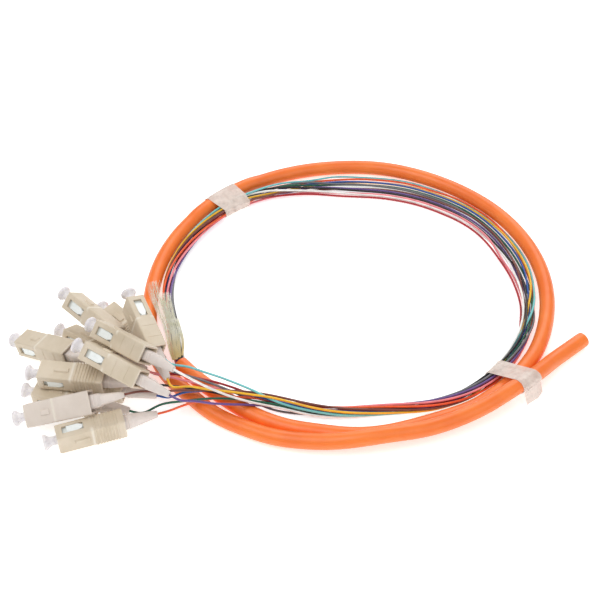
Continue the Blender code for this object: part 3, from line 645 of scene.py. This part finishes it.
def fibre_finish(colour):
    """Extruded buffer in one of the twelve code colours: smooth and glossy."""
    made, tree, shader = new_finish(f"extruded {colour} buffer")
    shade = linear(FIBRE_HEX[colour])[:3]
    tones = [[min(1.0, share * v) for v in shade] + [1.0] for share in (1.08, 0.86)]
    coords = (add_node(tree, "ShaderNodeTexCoord"), "Object")
    mottled(tree, shader, coords, tones, 5.0, (0.3, 0.7), 2.0, 0.5)
    uneven(tree, shader, "Roughness", coords, (0.24, 0.36), 3.0)
    return made


def housing_finish(name="moulded beige PBT", tones=("D9CBB6", "CEBFA7")):
    """Moulded PBT: satin and faintly mottled, with paler rims where the mould opened and a painted
    highlight along the grip's step.
    """
    made, tree, shader, _, colour = plain_finish(
        name, tones, 9.0, (0.4, 0.52), 2.5, (0.3, 0.02, 0.4),
        Subsurface_Weight=0.05, Subsurface_Radius=(0.0015, 0.0012, 0.0009),
    )
    # The pale tint marks worn rims and key edges, and paints a highlight on the step's bevel.
    tinted_by_mask(tree, shader, colour, "ECE4D6")
    return made


def boot_finish():
    """Moulded soft PVC, off-white with a warm tinge: matt, and a little waxy."""
    return plain_finish(
        "moulded off-white PVC boot", ("E5DBD4", "DBD0C9"), 7.0, (0.46, 0.6), 2.0,
        (0.35, 0.02, 0.4), Subsurface_Weight=0.15, Subsurface_Radius=(0.002, 0.0016, 0.0014),
    )[0]


def frame_finish():
    """Moulded white PBT of the inner plug: brighter and glossier than the housing."""
    return plain_finish(
        "moulded white PBT frame", ("F5F8F6", "EAEFEC"), 6.0, (0.24, 0.36), 2.0,
        Subsurface_Weight=0.1, Subsurface_Radius=(0.002, 0.002, 0.002),
    )[0]


def ferrule_finish():
    """Ground zirconia: dense white ceramic with a polished tip."""
    tones = ("F4F2EC", "EDEBE4")
    return plain_finish("ground zirconia ferrule", tones, 3.0, (0.1, 0.18), 1.0, IOR=2.1)[0]


def cap_finish():
    """Moulded low-density polyethylene: milky, so that what is behind shows softly."""
    return plain_finish(
        "moulded milky polyethylene", ("F9F4F4", "EFE9EB"), 3.0, (0.22, 0.36), 1.5, IOR=1.51,
        Transmission_Weight=0.1, Subsurface_Weight=0.2, Subsurface_Radius=(0.002, 0.002, 0.0025),
    )[0]


def tape_finish():
    """Clear polypropylene tape: thin, milky where it is creased or has two layers."""
    made, tree, shader, coords, _ = plain_finish(
        "clear polypropylene tape", ("F8EAE0", "EBDACE"), 5.0, (0.25, 0.45), 2.0,
        (2.4, 0.25, 0.6), IOR=1.49,
    )
    uneven(tree, shader, "Alpha", coords, (0.55, 0.8), 4.0, (0.35, 0.65), 0.6)
    return made


def yarn_finish():
    """Aramid filament: straw yellow at the jacket, paler further out, with a soft sheen."""
    made, tree, shader, _, colour = plain_finish(
        "loose aramid yarn", ("FFFEF2", "F2F0D8"), 3.0, (0.42, 0.6), 1.0,
        Sheen_Weight=0.3, Sheen_Roughness=0.4, Alpha=0.85,
    )
    tinted_by_mask(tree, shader, colour, "EACB72", (0.05, 0.35, 0.75, 0.0))
    return made


def table_finish():
    """Opal acrylic light table: matt, pale and lit through, so that shadows stay faint."""
    made, tree, shader = new_finish(
        "backlit opal acrylic", Roughness=0.85, Emission_Strength=0.5,
        Emission_Color=linear("FFFFFF"),
    )
    coords = (add_node(tree, "ShaderNodeTexCoord"), "Object")
    mottled(tree, shader, coords, (linear("FFFFFF"), linear("FBFBFB")), 400.0)
    return made


# Sizes and colours that a user would change


def metres(name, description, default):
    """A length as a property, in metres."""
    return FloatProperty(name=name, description=description, default=default, unit="LENGTH")


class CableSizes(bpy.types.PropertyGroup):
    jacket_diameter: metres("Jacket diameter", "Outside of the cable", 0.0062)
    jacket_bore: metres("Jacket bore", "Inside of the cable's jacket", 0.0050)
    fibre_diameter: metres("Fibre diameter", "Outside of one buffered fibre", 0.0009)
    tape_thickness: metres("Tape thickness", "Thickness of a tape tie", 0.0002)
    yarn_strands: IntProperty(
        name="Yarn strands", description="Filaments in each lock of yarn", default=90, min=3
    )


class ConnectorSizes(bpy.types.PropertyGroup):
    corner_radius: metres("Corner radius", "Round of the housing's long edges", 0.0007)
    rib_height: metres("Rib height", "How far a grip rib stands out", 0.00028)
    boot_collar: metres("Boot collar", "Length of the boot's stepped collar", 0.0034)
    flange_diameter: metres("Cap head", "Outside of the dust cap's head", 0.0060)


class StageLook(bpy.types.PropertyGroup):
    backdrop: FloatVectorProperty(
        name="Backdrop", description="Colour of the light from all round", subtype="COLOR", size=3,
        default=(1.0, 1.0, 1.0), min=0.0, max=1.0,
    )
    backdrop_strength: FloatProperty(
        name="Backdrop strength", description="Light from all round", default=0.41, min=0.0
    )
    key_light: FloatProperty(
        name="Key light", description="Power of the large soft light", default=4.2, unit="POWER"
    )


# Pieces


class BREAKOUT_OT_jacket(bpy.types.Operator):
    """Make the cable's jacket, with the wall showing at its two cut ends"""

    bl_idname = "breakout.jacket"
    bl_label = "Cable jacket"

    def execute(self, context):
        sizes = context.scene.breakout_cable
        path = jacket_path()
        outer = sizes.jacket_diameter / MM / 2
        bore = sizes.jacket_bore / MM / 2
        # The profile turns in at each end: bottom of the recess, bore, wall and rim.
        lead = [
            (2.5, 0.4 * bore), (2.5, bore), (0.12, bore), (0.0, bore + 0.12),
            (0.0, outer - 0.25), (0.12, outer - 0.06),
        ]
        turned = [(-slide, radius) for slide, radius in reversed(lead)]
        along = [(0.0, outer)] * (len(path) - 2)
        slide, radii = np.array(lead + along + turned).T[:, :, None]
        last = len(path) - 1
        pick = np.array([0] * len(lead) + list(range(1, last)) + [last] * len(lead))
        tangent, side, up = (rows[pick] for rows in level_frames(path))
        points = rings_round(
            path[pick] + slide * tangent, side, up, radii[..., None], JACKET_SIDES
        )
        thing = make_surface(
            "jacket_skin", points.reshape(-1, 3), closed_grid(len(pick), JACKET_SIDES),
            jacket_finish(), smooth=50, replaces="cable_jacket",
        )
        return {"FINISHED"}


class BREAKOUT_OT_connectors(bpy.types.Operator):
    """Make every connector: housing, inner frame with its ferrule, boot and dust cap"""

    bl_idname = "breakout.connectors"
    bl_label = "Connectors"

    def execute(self, context):
        sizes = context.scene.breakout_connector
        beige, greyer = housing_finish(), housing_finish(*GREYER_HOUSING)
        housings = {ribbed: housing_shape(sizes, ribbed) for ribbed in (False, True)}
        core = (
            ("inner_frame", inner_frame_shape(), frame_finish()),
            ("boot", boot_shape(sizes), boot_finish()),
            ("ferrule", ferrule_shape(), ferrule_finish()),
        )
        cap, milky = cap_shape(sizes), cap_finish()
        for channel in CHANNELS:
            colour = channel[0]
            points, faces, paint = housings[channel[7]]
            make_surface(
                f"housing_{colour}", placed(channel, points), faces,
                greyer if colour == "brown" else beige, f"sleeve_{colour}",
                MOULDED_SMOOTH, paint=paint,
                replaces=f"grip_sleeve_{colour}",
            )
            for name, (points, faces), finish in core:
                make_surface(
                    f"{name}_{colour}", placed(channel, points), faces, finish, "cable",
                    MOULDED_SMOOTH,
                    replaces=f"plug_core_{colour}" if name == "boot" else None,
                )
            make_surface(
                f"cap_{colour}", placed(channel, cap[0]), cap[1], milky, f"cap_{colour}",
                MOULDED_SMOOTH, replaces=f"dust_cap_{colour}",
            )
        return {"FINISHED"}


def sections_along(stations, sections):
    """Points and faces of a closed body: sections of y and z, each at its place on X."""
    rows = [np.column_stack([np.full(len(s), x), s]) for x, s in zip(stations, sections)]
    return np.concatenate(rows), closed_grid(len(rows), len(sections[0]))


def rounded_box(width, height, radius, per_corner=5):
    """Outline of a rounded rectangle, as y and z, anticlockwise from the middle of +Y."""
    turn = np.linspace(0, math.pi / 2, per_corner)
    corners = []
    for k, signs in enumerate(((1, 1), (-1, 1), (-1, -1), (1, -1))):
        middle = np.array(signs) * (width / 2 - radius, height / 2 - radius)
        angle = turn + k * math.pi / 2
        corners.append(middle + radius * np.column_stack([np.cos(angle), np.sin(angle)]))
    return np.concatenate(corners)


def lathe_shape(profile, count=32):
    """A profile of (x, radius) turned about X, with a flat face at both ends."""
    angle = turn_angles(count)
    ring = np.column_stack([np.cos(angle), np.sin(angle)])
    return sections_along([x for x, _ in profile], [radius * ring for _, radius in profile])


def housing_shape(sizes, ribbed):
    """The grip housing: an outer and an inner sheet on one grid, joined round its rims.

    Rows run back from the front and columns go round a rounded rectangle. The outer
    sheet is pushed out along its section's normal by the grip ribs, the key bar and the
    step behind it, and in at the seams. Cells inside the windows are left out of both
    sheets, and their edges are closed from sheet to sheet.
    """
    length, width, height = SLEEVE
    radius = sizes.corner_radius / MM
    window_front, window_rear, window_half = WINDOW
    key_start, key_end, step = RIBBED_KEY_AND_STEP if ribbed else PLAIN_KEY_AND_STEP
    rib_begins = RIB_START + 0.35 + RIB_PITCH * np.arange(RIB_COUNT)
    # Rows: wherever the outer sheet bends, and every 0.8 mm between
    marks = [0, 0.12, RIM, window_front, window_rear, key_start, key_start + KEY_EDGE]
    marks += [key_end - KEY_EDGE, key_end, step, step + 0.1, step + 0.25, step + 0.5]
    marks += [length - 0.4, length - 0.12, length, *np.arange(0.9, length, 0.8)]
    starts, edges = (rib_begins, RIB_EDGES) if ribbed else (SEAMS, SEAM_EDGES)
    marks += [start + on for start in starts for pair in edges for on in pair]
    stations = np.unique(np.round(marks, 3))
    # Columns: the section's outline with extra points at the window's and the key's edges
    sides = [(s * width / 2, v * window_half) for s in (1, -1) for v in (-1, -0.5, 0, 0.5, 1)]
    key_y = [v * s for v in (*KEY_SIDES, 2.0) for s in (1, -1)] + [0.0]
    tops = [(y, s * height / 2) for s in (1, -1) for y in key_y]
    outline = np.concatenate([rounded_box(width, height, radius), sides, tops])
    # Sort by bearing on a square, so that the order round the outline is exact.
    bearing = np.arctan2(outline[:, 1] / height, outline[:, 0] / width)
    outline = outline[np.argsort(bearing)]
    rows, columns = len(stations), len(outline)
    half = np.array([width, height]) / 2
    inner = np.clip(outline, SLEEVE_WALL - half, half - SLEEVE_WALL)
    back = stations[:, None]
    y, z = outline[None, :, 0], outline[None, :, 1]
    on_top = z > height / 2 - 1e-6
    on_wide = np.abs(z) > height / 2 - radius - 1e-6
    on_narrow = np.abs(y) > width / 2 - 1e-6
    front_rim = 1 - smooth_step(back, 0.0, RIM)
    rear_rim = smooth_step(back, length - RIM, length)
    out = np.zeros((rows, columns)) - (0.3 * front_rim + 0.15 * rear_rim)
    # The front's corners are rounded in plan, as far as the wall allows.
    out -= np.where(on_narrow, 0.38 * (1 - smooth_step(back, -0.8, 1.6)) / 0.74, 0)
    # The grip stands proud of the front on the wide faces.
    out -= np.where(on_wide, 0.16 * (1 - smooth_step(back, step, step + 0.4)), 0)
    key = plateau(back, (key_start, key_start + KEY_EDGE), (key_end - KEY_EDGE, key_end))
    key = key * (1 - smooth_step(np.abs(y), *KEY_SIDES))
    out += np.where(on_top, 0.5 * key, 0)
    if ribbed:
        ribs = plateau(back, *[(rib_begins + low, rib_begins + high) for low, high in edges])
        bed_end = rib_begins[-1] + RIB_PITCH
        bed = plateau(back, (RIB_START, RIB_START + 0.3), (bed_end, bed_end + 0.3))
        ribs = ribs.sum(axis=1, keepdims=True) - 0.6 * bed
        out += sizes.rib_height / MM * ribs * np.where(on_narrow, 0.6, 1)
    else:
        for seam in SEAMS:
            groove = plateau(back, *[(seam + low, seam + high) for low, high in edges])
            out -= np.where(on_wide & ~on_narrow, 0.0, 0.14) * groove
    normal = np.sign(outline) * smooth_step(np.abs(outline), half - radius, half)
    normal /= np.maximum(np.linalg.norm(normal, axis=1, keepdims=True), 1e-6)
    flare = 0.25 * front_rim + 0.15 * rear_rim
    flare = np.where(on_narrow, np.minimum(flare, 0.08), flare)
    sheets = np.empty((2, rows, columns, 3))
    sheets[..., 0] = -back
    sheets[0, ..., 1:] = outline[None] + out[..., None] * normal[None]
    sheets[1, ..., 1:] = inner[None] + flare[..., None] * normal[None]
    # Cells in the windows are left out.
    mid_back = (stations[:-1] + stations[1:]) / 2
    mid = np.abs((outline + np.roll(outline, -1, axis=0)) / 2)
    in_window = (
        ((mid_back > window_front) & (mid_back < window_rear))[:, None]
        & ((mid[:, 0] > width / 2 - 1e-4) & (mid[:, 1] < window_half))[None]
    )
    outer_faces = grid_faces(rows, columns, ~in_window)
    base = rows * columns
    walls = []
    c = np.arange(columns)
    n = (c + 1) % columns
    for row, turn in ((0, 1), (rows - 1, -1)):
        a, b = row * columns + c, row * columns + n
        walls.append(np.column_stack([a, a + base, b + base, b])[:, ::turn])
    # Each window cell's side whose neighbour isn't in the window gets a wall.
    r, c = np.nonzero(in_window)
    for dr, dc, ends in (
        (-1, 0, ((0, 0), (0, 1))), (1, 0, ((1, 1), (1, 0))),
        (0, -1, ((1, 0), (0, 0))), (0, 1, ((0, 1), (1, 1))),
    ):
        other = in_window[np.clip(r + dr, 0, rows - 2), (c + dc) % columns]
        rr, cc = r[~other], c[~other]
        a, b = ((rr + down) * columns + (cc + on) % columns for down, on in ends)
        walls.append(np.column_stack([a, b, b + base, a + base]))
    faces = np.concatenate([outer_faces, outer_faces[:, ::-1] + base, *walls])
    # Wear and painted highlight: the rims and the key's edges are paler where they are worn, and
    # the step's bevel is paler as a painted highlight.
    rim = 1 - smooth_step(back, 0.1, 0.5) + smooth_step(back, length - 0.5, length - 0.1)
    # A painted highlight along the bevel of the grip's step
    step_highlight = plateau(back, (step - 0.1, step + 0.05), (step + 0.4, step + 0.7)) * on_wide
    key_edge = np.where(on_top & (np.abs(y) < 1.2), key * (1 - key) * 4, 0)
    paint = np.clip(0.45 * rim + 0.8 * step_highlight + 0.4 * key_edge, 0, 1)
    paint = np.concatenate([paint.ravel(), np.zeros(base)])
    used = np.unique(faces)
    index = np.full(2 * base, -1)
    index[used] = np.arange(len(used))
    return sheets.reshape(-1, 3)[used], index[faces].tolist(), paint[used]


def inner_frame_shape():
    """The white inner plug: a rounded box with a deep socket and a latch in each window.

    The section is carried forwards along X outside, in at the front rim, and down the
    socket's walls to its floor.
    """
    width, height = PLUG_WIDTH, PLUG_HEIGHT
    wall = 0.5
    bore_width, bore_height = width - 2 * wall, height - 2 * wall
    path = (
        (-21.7, width - 0.4, height - 0.4, 0.5), (-21.5, width, height, 0.6),
        (-0.9, width, height, 0.6), (-0.6, width - 0.3, height - 0.3, 0.6),
        (-0.6, bore_width + 0.2, bore_height + 0.2, 0.4),
        (-0.75, bore_width, bore_height, 0.3), (-7.6, bore_width, bore_height, 0.3),
    )
    points, faces = sections_along(
        [station for station, *_ in path], [rounded_box(*section) for _, *section in path]
    )
    # Latch pads: a house-shaped block on each narrow face, seen through the window
    pad_x = np.array([3.05, 3.05, -1.35, -2.95, -2.95, -1.35])
    pad_z = np.array([-1.5, 1.5, 1.5, 0.7, -0.7, -1.5])
    levels = ((width / 2 - 0.2, 1.0), (width / 2 + 0.95, 1.0), (width / 2 + 1.12, 0.94))
    count = len(pad_x)
    for side in (1, -1):
        start = len(points)
        for y, share in levels:
            ring = [PAD_MIDDLE + pad_x * share, np.full(count, side * y), pad_z * share]
            points = np.concatenate([points, np.column_stack(ring)])
        pad_faces = closed_grid(len(levels), count)
        faces += [[start + i for i in face[::-side]] for face in pad_faces]
    return points, faces


def boot_shape(sizes):
    """The boot: a squarish root that turns into a stepped collar and a tapering cone.

    Each row of the root blends a rounded box with an oval, by a share that grows to
    the rear, and each row of the cone is a circle.
    """
    collar = sizes.boot_collar / MM
    base, tip = BOOT_BASE_DIAMETER / 2, 1.3
    # Place ahead of the housing's rear face, size beside the plug's, share of the oval
    root = (
        (3.6, 0.8, 0.3), (3.5, 0.86, 0.35), (-0.9, 0.86, 0.4), (-1.05, 0.8, 0.4),
        (-1.35, 0.8, 0.4), (-1.5, 0.87, 0.45), (-2.3, 0.87, 0.5), (-2.4, 0.82, 0.5),
        (-2.65, 0.82, 0.55), (-2.75, 0.87, 0.6), (-collar, 0.85, 0.7),
    )
    # Place and radius
    cone = (
        (-collar - 0.35, 2.6), (-BOOT_WAIST * BOOT_LENGTH, base), (-0.6 * BOOT_LENGTH, base - 0.28),
        (-0.8 * BOOT_LENGTH, base - 0.62), (0.25 - BOOT_LENGTH, tip),
        (-BOOT_LENGTH, tip - 0.2), (-BOOT_LENGTH, 0.6), (0.8 - BOOT_LENGTH, 0.55),
    )
    box = rounded_box(PLUG_WIDTH, PLUG_HEIGHT, 0.9, 9)
    around = np.arctan2(box[:, 1] / PLUG_HEIGHT, box[:, 0] / PLUG_WIDTH)
    circle = np.column_stack([np.cos(around), np.sin(around)])
    oval = circle * (PLUG_WIDTH / 2, PLUG_HEIGHT / 2)
    sections = [(box * (1 - blend) + oval * blend) * share for _, share, blend in root]
    sections += [circle * radius for _, radius in cone]
    return sections_along([row[0] - SLEEVE[0] for row in root + cone], sections)


def ferrule_shape():
    """The ceramic ferrule: a rod with a chamfered, slightly domed tip, in its holder."""
    return lathe_shape((
        (-7.9, 1.9), (-6.9, 1.9), (-6.8, 1.6), (-6.8, 1.25), (-1.35, 1.25), (-1.02, 0.9),
        (-1.0, 0.3),
    ))


def cap_shape(sizes):
    """The dust cap: a blind tube over the ferrule, a slim stem, and a flared, dished head."""
    flange = sizes.flange_diameter / MM / 2
    return lathe_shape((
        (-0.8, 0.3), (-0.8, 1.3), (-4.6, 1.35), (-4.6, 1.75), (-0.35, 1.8), (0.0, 1.72),
        (1.8, 1.68), (2.6, 1.85), (3.2, 2.2), (3.7, flange - 0.25), (4.0, flange - 0.05),
        (4.2, flange), (4.75, flange), (4.95, flange - 0.12), (5.05, flange - 0.4),
        (4.85, 1.9), (4.8, 0.3),
    ))


class BREAKOUT_OT_fibres(bpy.types.Operator):
    """Make the twelve buffered fibres, each a cord from the jacket to its boot"""

    bl_idname = "breakout.fibres"
    bl_label = "Buffered fibres"

    def execute(self, context):
        sizes = context.scene.breakout_cable
        lines = fibre_lines()
        context.scene["breakout_lines"] = lines.ravel().tolist()
        radius = sizes.fibre_diameter / MM / 2
        faces = closed_grid(FIBRE_ROWS, FIBRE_SIDES)
        for channel, points in zip(CHANNELS, lines):
            colour = channel[0]
            first = points[0] + unit(points[0] - points[1]) * CORE_BEHIND
            last = points[-1] + unit(points[-1] - points[-2]) * BOOT_AHEAD
            path = smooth_path(np.concatenate([[first], points, [last]]), FIBRE_ROWS)
            path[:, 2] = np.maximum(path[:, 2], radius + 0.02)
            surface, uv = tube(path, radius, FIBRE_SIDES)
            thing = make_surface(
                f"buffer_{colour}", surface, faces, fibre_finish(colour),
                smooth=60, uv=uv, replaces=f"fibre_{colour}",
            )
        self.tail_ends(radius)
        return {"FINISHED"}

    def tail_ends(self, radius):
        """The fibres' cut ends in the jacket's tail, each a short rod set in by its own depth."""
        sides = 14
        path = jacket_path()
        heading = unit(path[0] - path[1])
        side = unit(np.cross(heading, (0.0, 0.0, 1.0)))
        up = np.cross(side, heading)
        points, faces, finishes, pick = [], [], [], []
        for k, channel in enumerate(CHANNELS):
            across = bundle_section(channel[1], 0, 0.0, 0.0, 0.0)
            middle = path[0] + across[0] * side + across[1] * up
            depths = np.array([2.4, 0.45 + 0.1 * (k % 3)])
            rod = middle - heading * depths[:, None]
            points.append(rings_round(rod, side[None], up[None], radius, sides).reshape(-1, 3))
            ends = closed_grid(2, sides)
            faces += [[i + 2 * sides * k for i in face] for face in ends]
            pick += [k] * len(ends)
            finishes.append(bpy.data.materials[f"extruded {channel[0]} buffer"])
        thing = make_surface(
            "tail_fibre_ends", np.concatenate(points), faces, finishes
        )
        thing.data.polygons.foreach_set("material_index", pick)


def stored_lines(context):
    """The eased fibre lines that the fibre operator worked out."""
    flat = np.array(context.scene["breakout_lines"], float)
    return flat.reshape(len(CHANNELS), -1, 3)


def hull_outline(discs, count):
    """Outline round discs of (radius, height, size), by its support.

    Each direction takes the point of the disc that reaches furthest along it.
    """
    angle = turn_angles(count)
    toward = np.column_stack([np.cos(angle), np.sin(angle)])
    reach = toward @ discs[:, :2].T + discs[:, 2]
    best = discs[reach.argmax(axis=1)]
    return best[:, :2] + best[:, 2:] * toward


def discs_at(paths, bearing, diameter, most=None):
    """Radius, height and half the diameter of the paths' crossings of a bearing."""
    places = np.concatenate([crossings(path, bearing)[:most] for path in paths])
    return np.column_stack([places, np.full(len(places), diameter / 2)])


class BREAKOUT_OT_tapes(bpy.types.Operator):
    """Make the two tape ties round the cable and the fibres"""

    bl_idname = "breakout.tapes"
    bl_label = "Tape ties"

    def execute(self, context):
        skin = context.scene.breakout_cable.tape_thickness / MM
        jacket = jacket_path()
        fibres = [smooth_path(line, 2 * FIBRE_ROWS) for line in stored_lines(context)]
        finish = tape_finish()
        angle = turn_angles(TAPE_COUNT)
        for name, bearing, width, flag in TAPE_TIES:
            radius = float(crossings(jacket, bearing)[:, 0].mean())
            half = math.degrees(width / 2 / radius)
            inner, outer = [], []
            for share in np.linspace(0, 1, TAPE_SLICES):
                turned = bearing + half * (2 * share - 1)
                discs = [
                    discs_at([jacket], turned, JACKET_DIAMETER),
                    discs_at(fibres, turned, FIBRE_DIAMETER, 1),
                ]
                waves = np.sin(5 * angle + 9 * share) * np.sin(3 * angle - 14 * share + 1.0)
                ripple = np.sin(11 * angle + 5 * share * math.pi + 2.0)
                crease = 0.14 + (0.07 * waves + 0.05 * ripple)
                ring = hull_outline(np.concatenate(discs), TAPE_COUNT)
                outward = unit(ring - ring.mean(axis=0))
                c, s = math.cos(math.radians(turned)), math.sin(math.radians(turned))
                for rings, low, grow in (
                    (inner, 0.08 + skin, crease), (outer, 0.06, crease + skin)
                ):
                    r, z = (ring + outward * grow[:, None]).T
                    rings.append(np.column_stack([r * c, r * s, np.maximum(z, low)]))
            # Out along the outer sheet and back along the inner one, closed in a loop
            rows = 2 * TAPE_SLICES
            faces = grid_faces(rows + 1, TAPE_COUNT) % (rows * TAPE_COUNT)
            make_surface(
                f"{name}_band", np.concatenate(outer + inner[::-1]), faces.tolist(), finish,
                smooth=50, replaces=name,
            )
            if flag:
                self.loose_end(name, bearing, half, flag, outer, finish, skin)
        return {"FINISHED"}

    def loose_end(self, name, bearing, half, flag, outer, finish, skin):
        """The tape's end: two stuck layers hanging from the band's outermost line, bowed."""
        rows, columns = 9, 15
        middle = outer[len(outer) // 2]
        far = np.hypot(middle[:, 0], middle[:, 1])
        start_r, start_z = far.max() - 0.05, middle[far.argmax(), 2]
        down = np.linspace(0, 1, rows)[:, None]
        across = np.linspace(-1, 1, columns)[None]
        turned = np.radians(bearing + half * across * (1 - 0.04 * down))
        r = start_r + 0.35 * flag * down + 0.35 * np.sin(2.6 * across + 1.0) * down
        z = np.maximum(start_z - 0.94 * flag * down * (1 + 0.06 * across), 0.25 + 0.1 * across)
        top, back = (
            np.stack([depth * np.cos(turned), depth * np.sin(turned), z], axis=2)
            for depth in (r, r - skin)
        )
        layers = np.concatenate([top, back[:, ::-1]], axis=1).reshape(-1, 3)
        make_surface(
            f"{name}_loose_end", layers, closed_grid(rows, 2 * columns), finish,
            smooth=50,
        )


class BREAKOUT_OT_yarn(bpy.types.Operator):
    """Make the tuft of strength yarn that comes out of the stripped end"""

    bl_idname = "breakout.yarn"
    bl_label = "Strength yarn"

    def execute(self, context):
        strands = context.scene.breakout_cable.yarn_strands
        finish = yarn_finish()
        scatter = np.random.default_rng(12)
        rows, sides = 26, 3
        share = np.linspace(0, 1, rows)
        one = closed_grid(rows, sides)
        faces = [[v + i * rows * sides for v in face] for i in range(strands) for face in one]
        for k, lock in enumerate(YARN_LOCKS):
            path = smooth_path(lock, rows)
            _, side, up = level_frames(path)
            place = scatter.uniform(-1, 1, (2, strands, 1))
            length = scatter.uniform(0, 1, (strands, 1))
            wander = scatter.uniform(-1, 1, (3, strands, 1))
            # Where each strand's points lie along the lock: the short ones end early.
            run = share[None] * (1 - 0.45 * length**2) * YARN_LENGTHS[k]
            low = np.minimum((run * (rows - 1)).astype(int), rows - 2)
            t = (run * (rows - 1) - low)[..., None]
            middle, level, rise = (a[low] * (1 - t) + a[low + 1] * t for a in (path, side, up))
            width = YARN_HALF_WIDTHS[k] * (0.35 + 0.75 * np.sin(math.pi * (0.1 + 0.6 * run)))
            wave = np.sin(2 * math.pi * (run * (1.2 + 0.5 * wander[0]) + wander[1])) * run
            sideways = width * (place[0] + 0.25 * wave) + 0.8 * wander[2] * run**2
            sideways = sideways + YARN_LEANS[k] * np.minimum(run * 2, 1)
            height = 0.22 * place[1] * (1 + 1.5 * run) + 0.25 * run**2 * np.abs(wander[0])
            line = middle + level * sideways[..., None] + rise * height[..., None]
            points = rings_round(line, level, -rise, YARN_RADIUS, sides)
            make_surface(
                f"yarn_lock_{k + 1}", points.reshape(-1, 3), faces, finish,
                smooth=80, paint=np.repeat(run, sides, axis=1).ravel(),
                replaces=f"aramid_yarn_{k + 1}",
            )
        return {"FINISHED"}


class BREAKOUT_OT_stage(bpy.types.Operator):
    """Make the floor, the soft studio light and the camera at the photograph's angle"""

    bl_idname = "breakout.stage"
    bl_label = "Stage"

    def execute(self, context):
        scene = context.scene
        look = scene.breakout_stage
        mesh = bpy.data.meshes.new("floor")
        signs = ((-1, -1), (1, -1), (1, 1), (-1, 1))
        corners = [(x * FLOOR_REACH, y * FLOOR_REACH, 0) for x, y in signs]
        mesh.from_pydata(corners, [], [(0, 1, 2, 3)])
        mesh.materials.append(table_finish())
        floor = bpy.data.objects.new("floor", mesh)
        floor.location.z = -0.0001
        scene.collection.objects.link(floor)
        world = bpy.data.worlds.new("studio")
        scene.world = world
        world.use_nodes = True
        sky = world.node_tree.nodes["Background"]
        sky.inputs["Color"].default_value = (*look.backdrop, 1.0)
        sky.inputs["Strength"].default_value = look.backdrop_strength
        # Name, place and width in metres, and share of the key light's power
        for name, place, size, share in (
            ("key", (-0.35, -0.25, 0.9), 0.7, 1.0), ("fill", (0.6, -0.5, 0.7), 0.8, 0.5),
            ("back", (0.2, 0.9, 0.7), 0.8, 1.15),
        ):
            data = bpy.data.lights.new(name, "AREA")
            data.shape = "SQUARE"
            data.size = size
            data.energy = share * look.key_light
            lamp = bpy.data.objects.new(name, data)
            lamp.location = place
            lamp.rotation_euler = (-Vector(place)).to_track_quat("-Z", "Y").to_euler()
            scene.collection.objects.link(lamp)
        scene.view_settings.view_transform = "Standard"
        aim = RING_CENTRE + CAMERA_AIM
        down = math.radians(CAMERA_DOWN)
        eye = aim - CAMERA_DISTANCE * np.array((0.0, math.cos(down), -math.sin(down)))
        data = bpy.data.cameras.new("camera")
        data.sensor_width = SENSOR_WIDTH
        data.lens = CAMERA_FOCAL * SENSOR_WIDTH
        data.clip_start, data.clip_end = 0.01, 20.0
        camera = bpy.data.objects.new("camera", data)
        camera.location = Vector(eye * MM)
        camera.rotation_euler = (math.pi / 2 - down, 0.0, 0.0)
        scene.collection.objects.link(camera)
        scene.camera = camera
        return {"FINISHED"}


class BREAKOUT_PT_panel(bpy.types.Panel):
    """Sizes, colours and operators of the breakout cable"""

    bl_label = "Breakout cable"
    bl_idname = "BREAKOUT_PT_panel"
    bl_space_type = "VIEW_3D"
    bl_region_type = "UI"
    bl_category = "Breakout"

    def draw(self, context):
        for group in ("breakout_cable", "breakout_connector", "breakout_stage"):
            owner = getattr(context.scene, group)
            box = self.layout.box()
            for name in owner.__annotations__:
                box.prop(owner, name)
        for operator in OPERATORS:
            self.layout.operator(operator.bl_idname)


OPERATORS = (
    BREAKOUT_OT_stage, BREAKOUT_OT_jacket, BREAKOUT_OT_connectors, BREAKOUT_OT_fibres,
    BREAKOUT_OT_tapes, BREAKOUT_OT_yarn,
)
GROUPS = (
    ("breakout_cable", CableSizes), ("breakout_connector", ConnectorSizes),
    ("breakout_stage", StageLook),
)
CLASSES = (*(group for _, group in GROUPS), *OPERATORS, BREAKOUT_PT_panel)


def register():
    for one in CLASSES:
        bpy.utils.register_class(one)
    for name, group in GROUPS:
        setattr(bpy.types.Scene, name, PointerProperty(type=group))


def unregister():
    for name, _ in GROUPS:
        delattr(bpy.types.Scene, name)
    for one in reversed(CLASSES):
        bpy.utils.unregister_class(one)


def main():
    register()
    for operator in OPERATORS:
        family, name = operator.bl_idname.split(".")
        getattr(getattr(bpy.ops, family), name)()


if __name__ == "__main__":
    main()
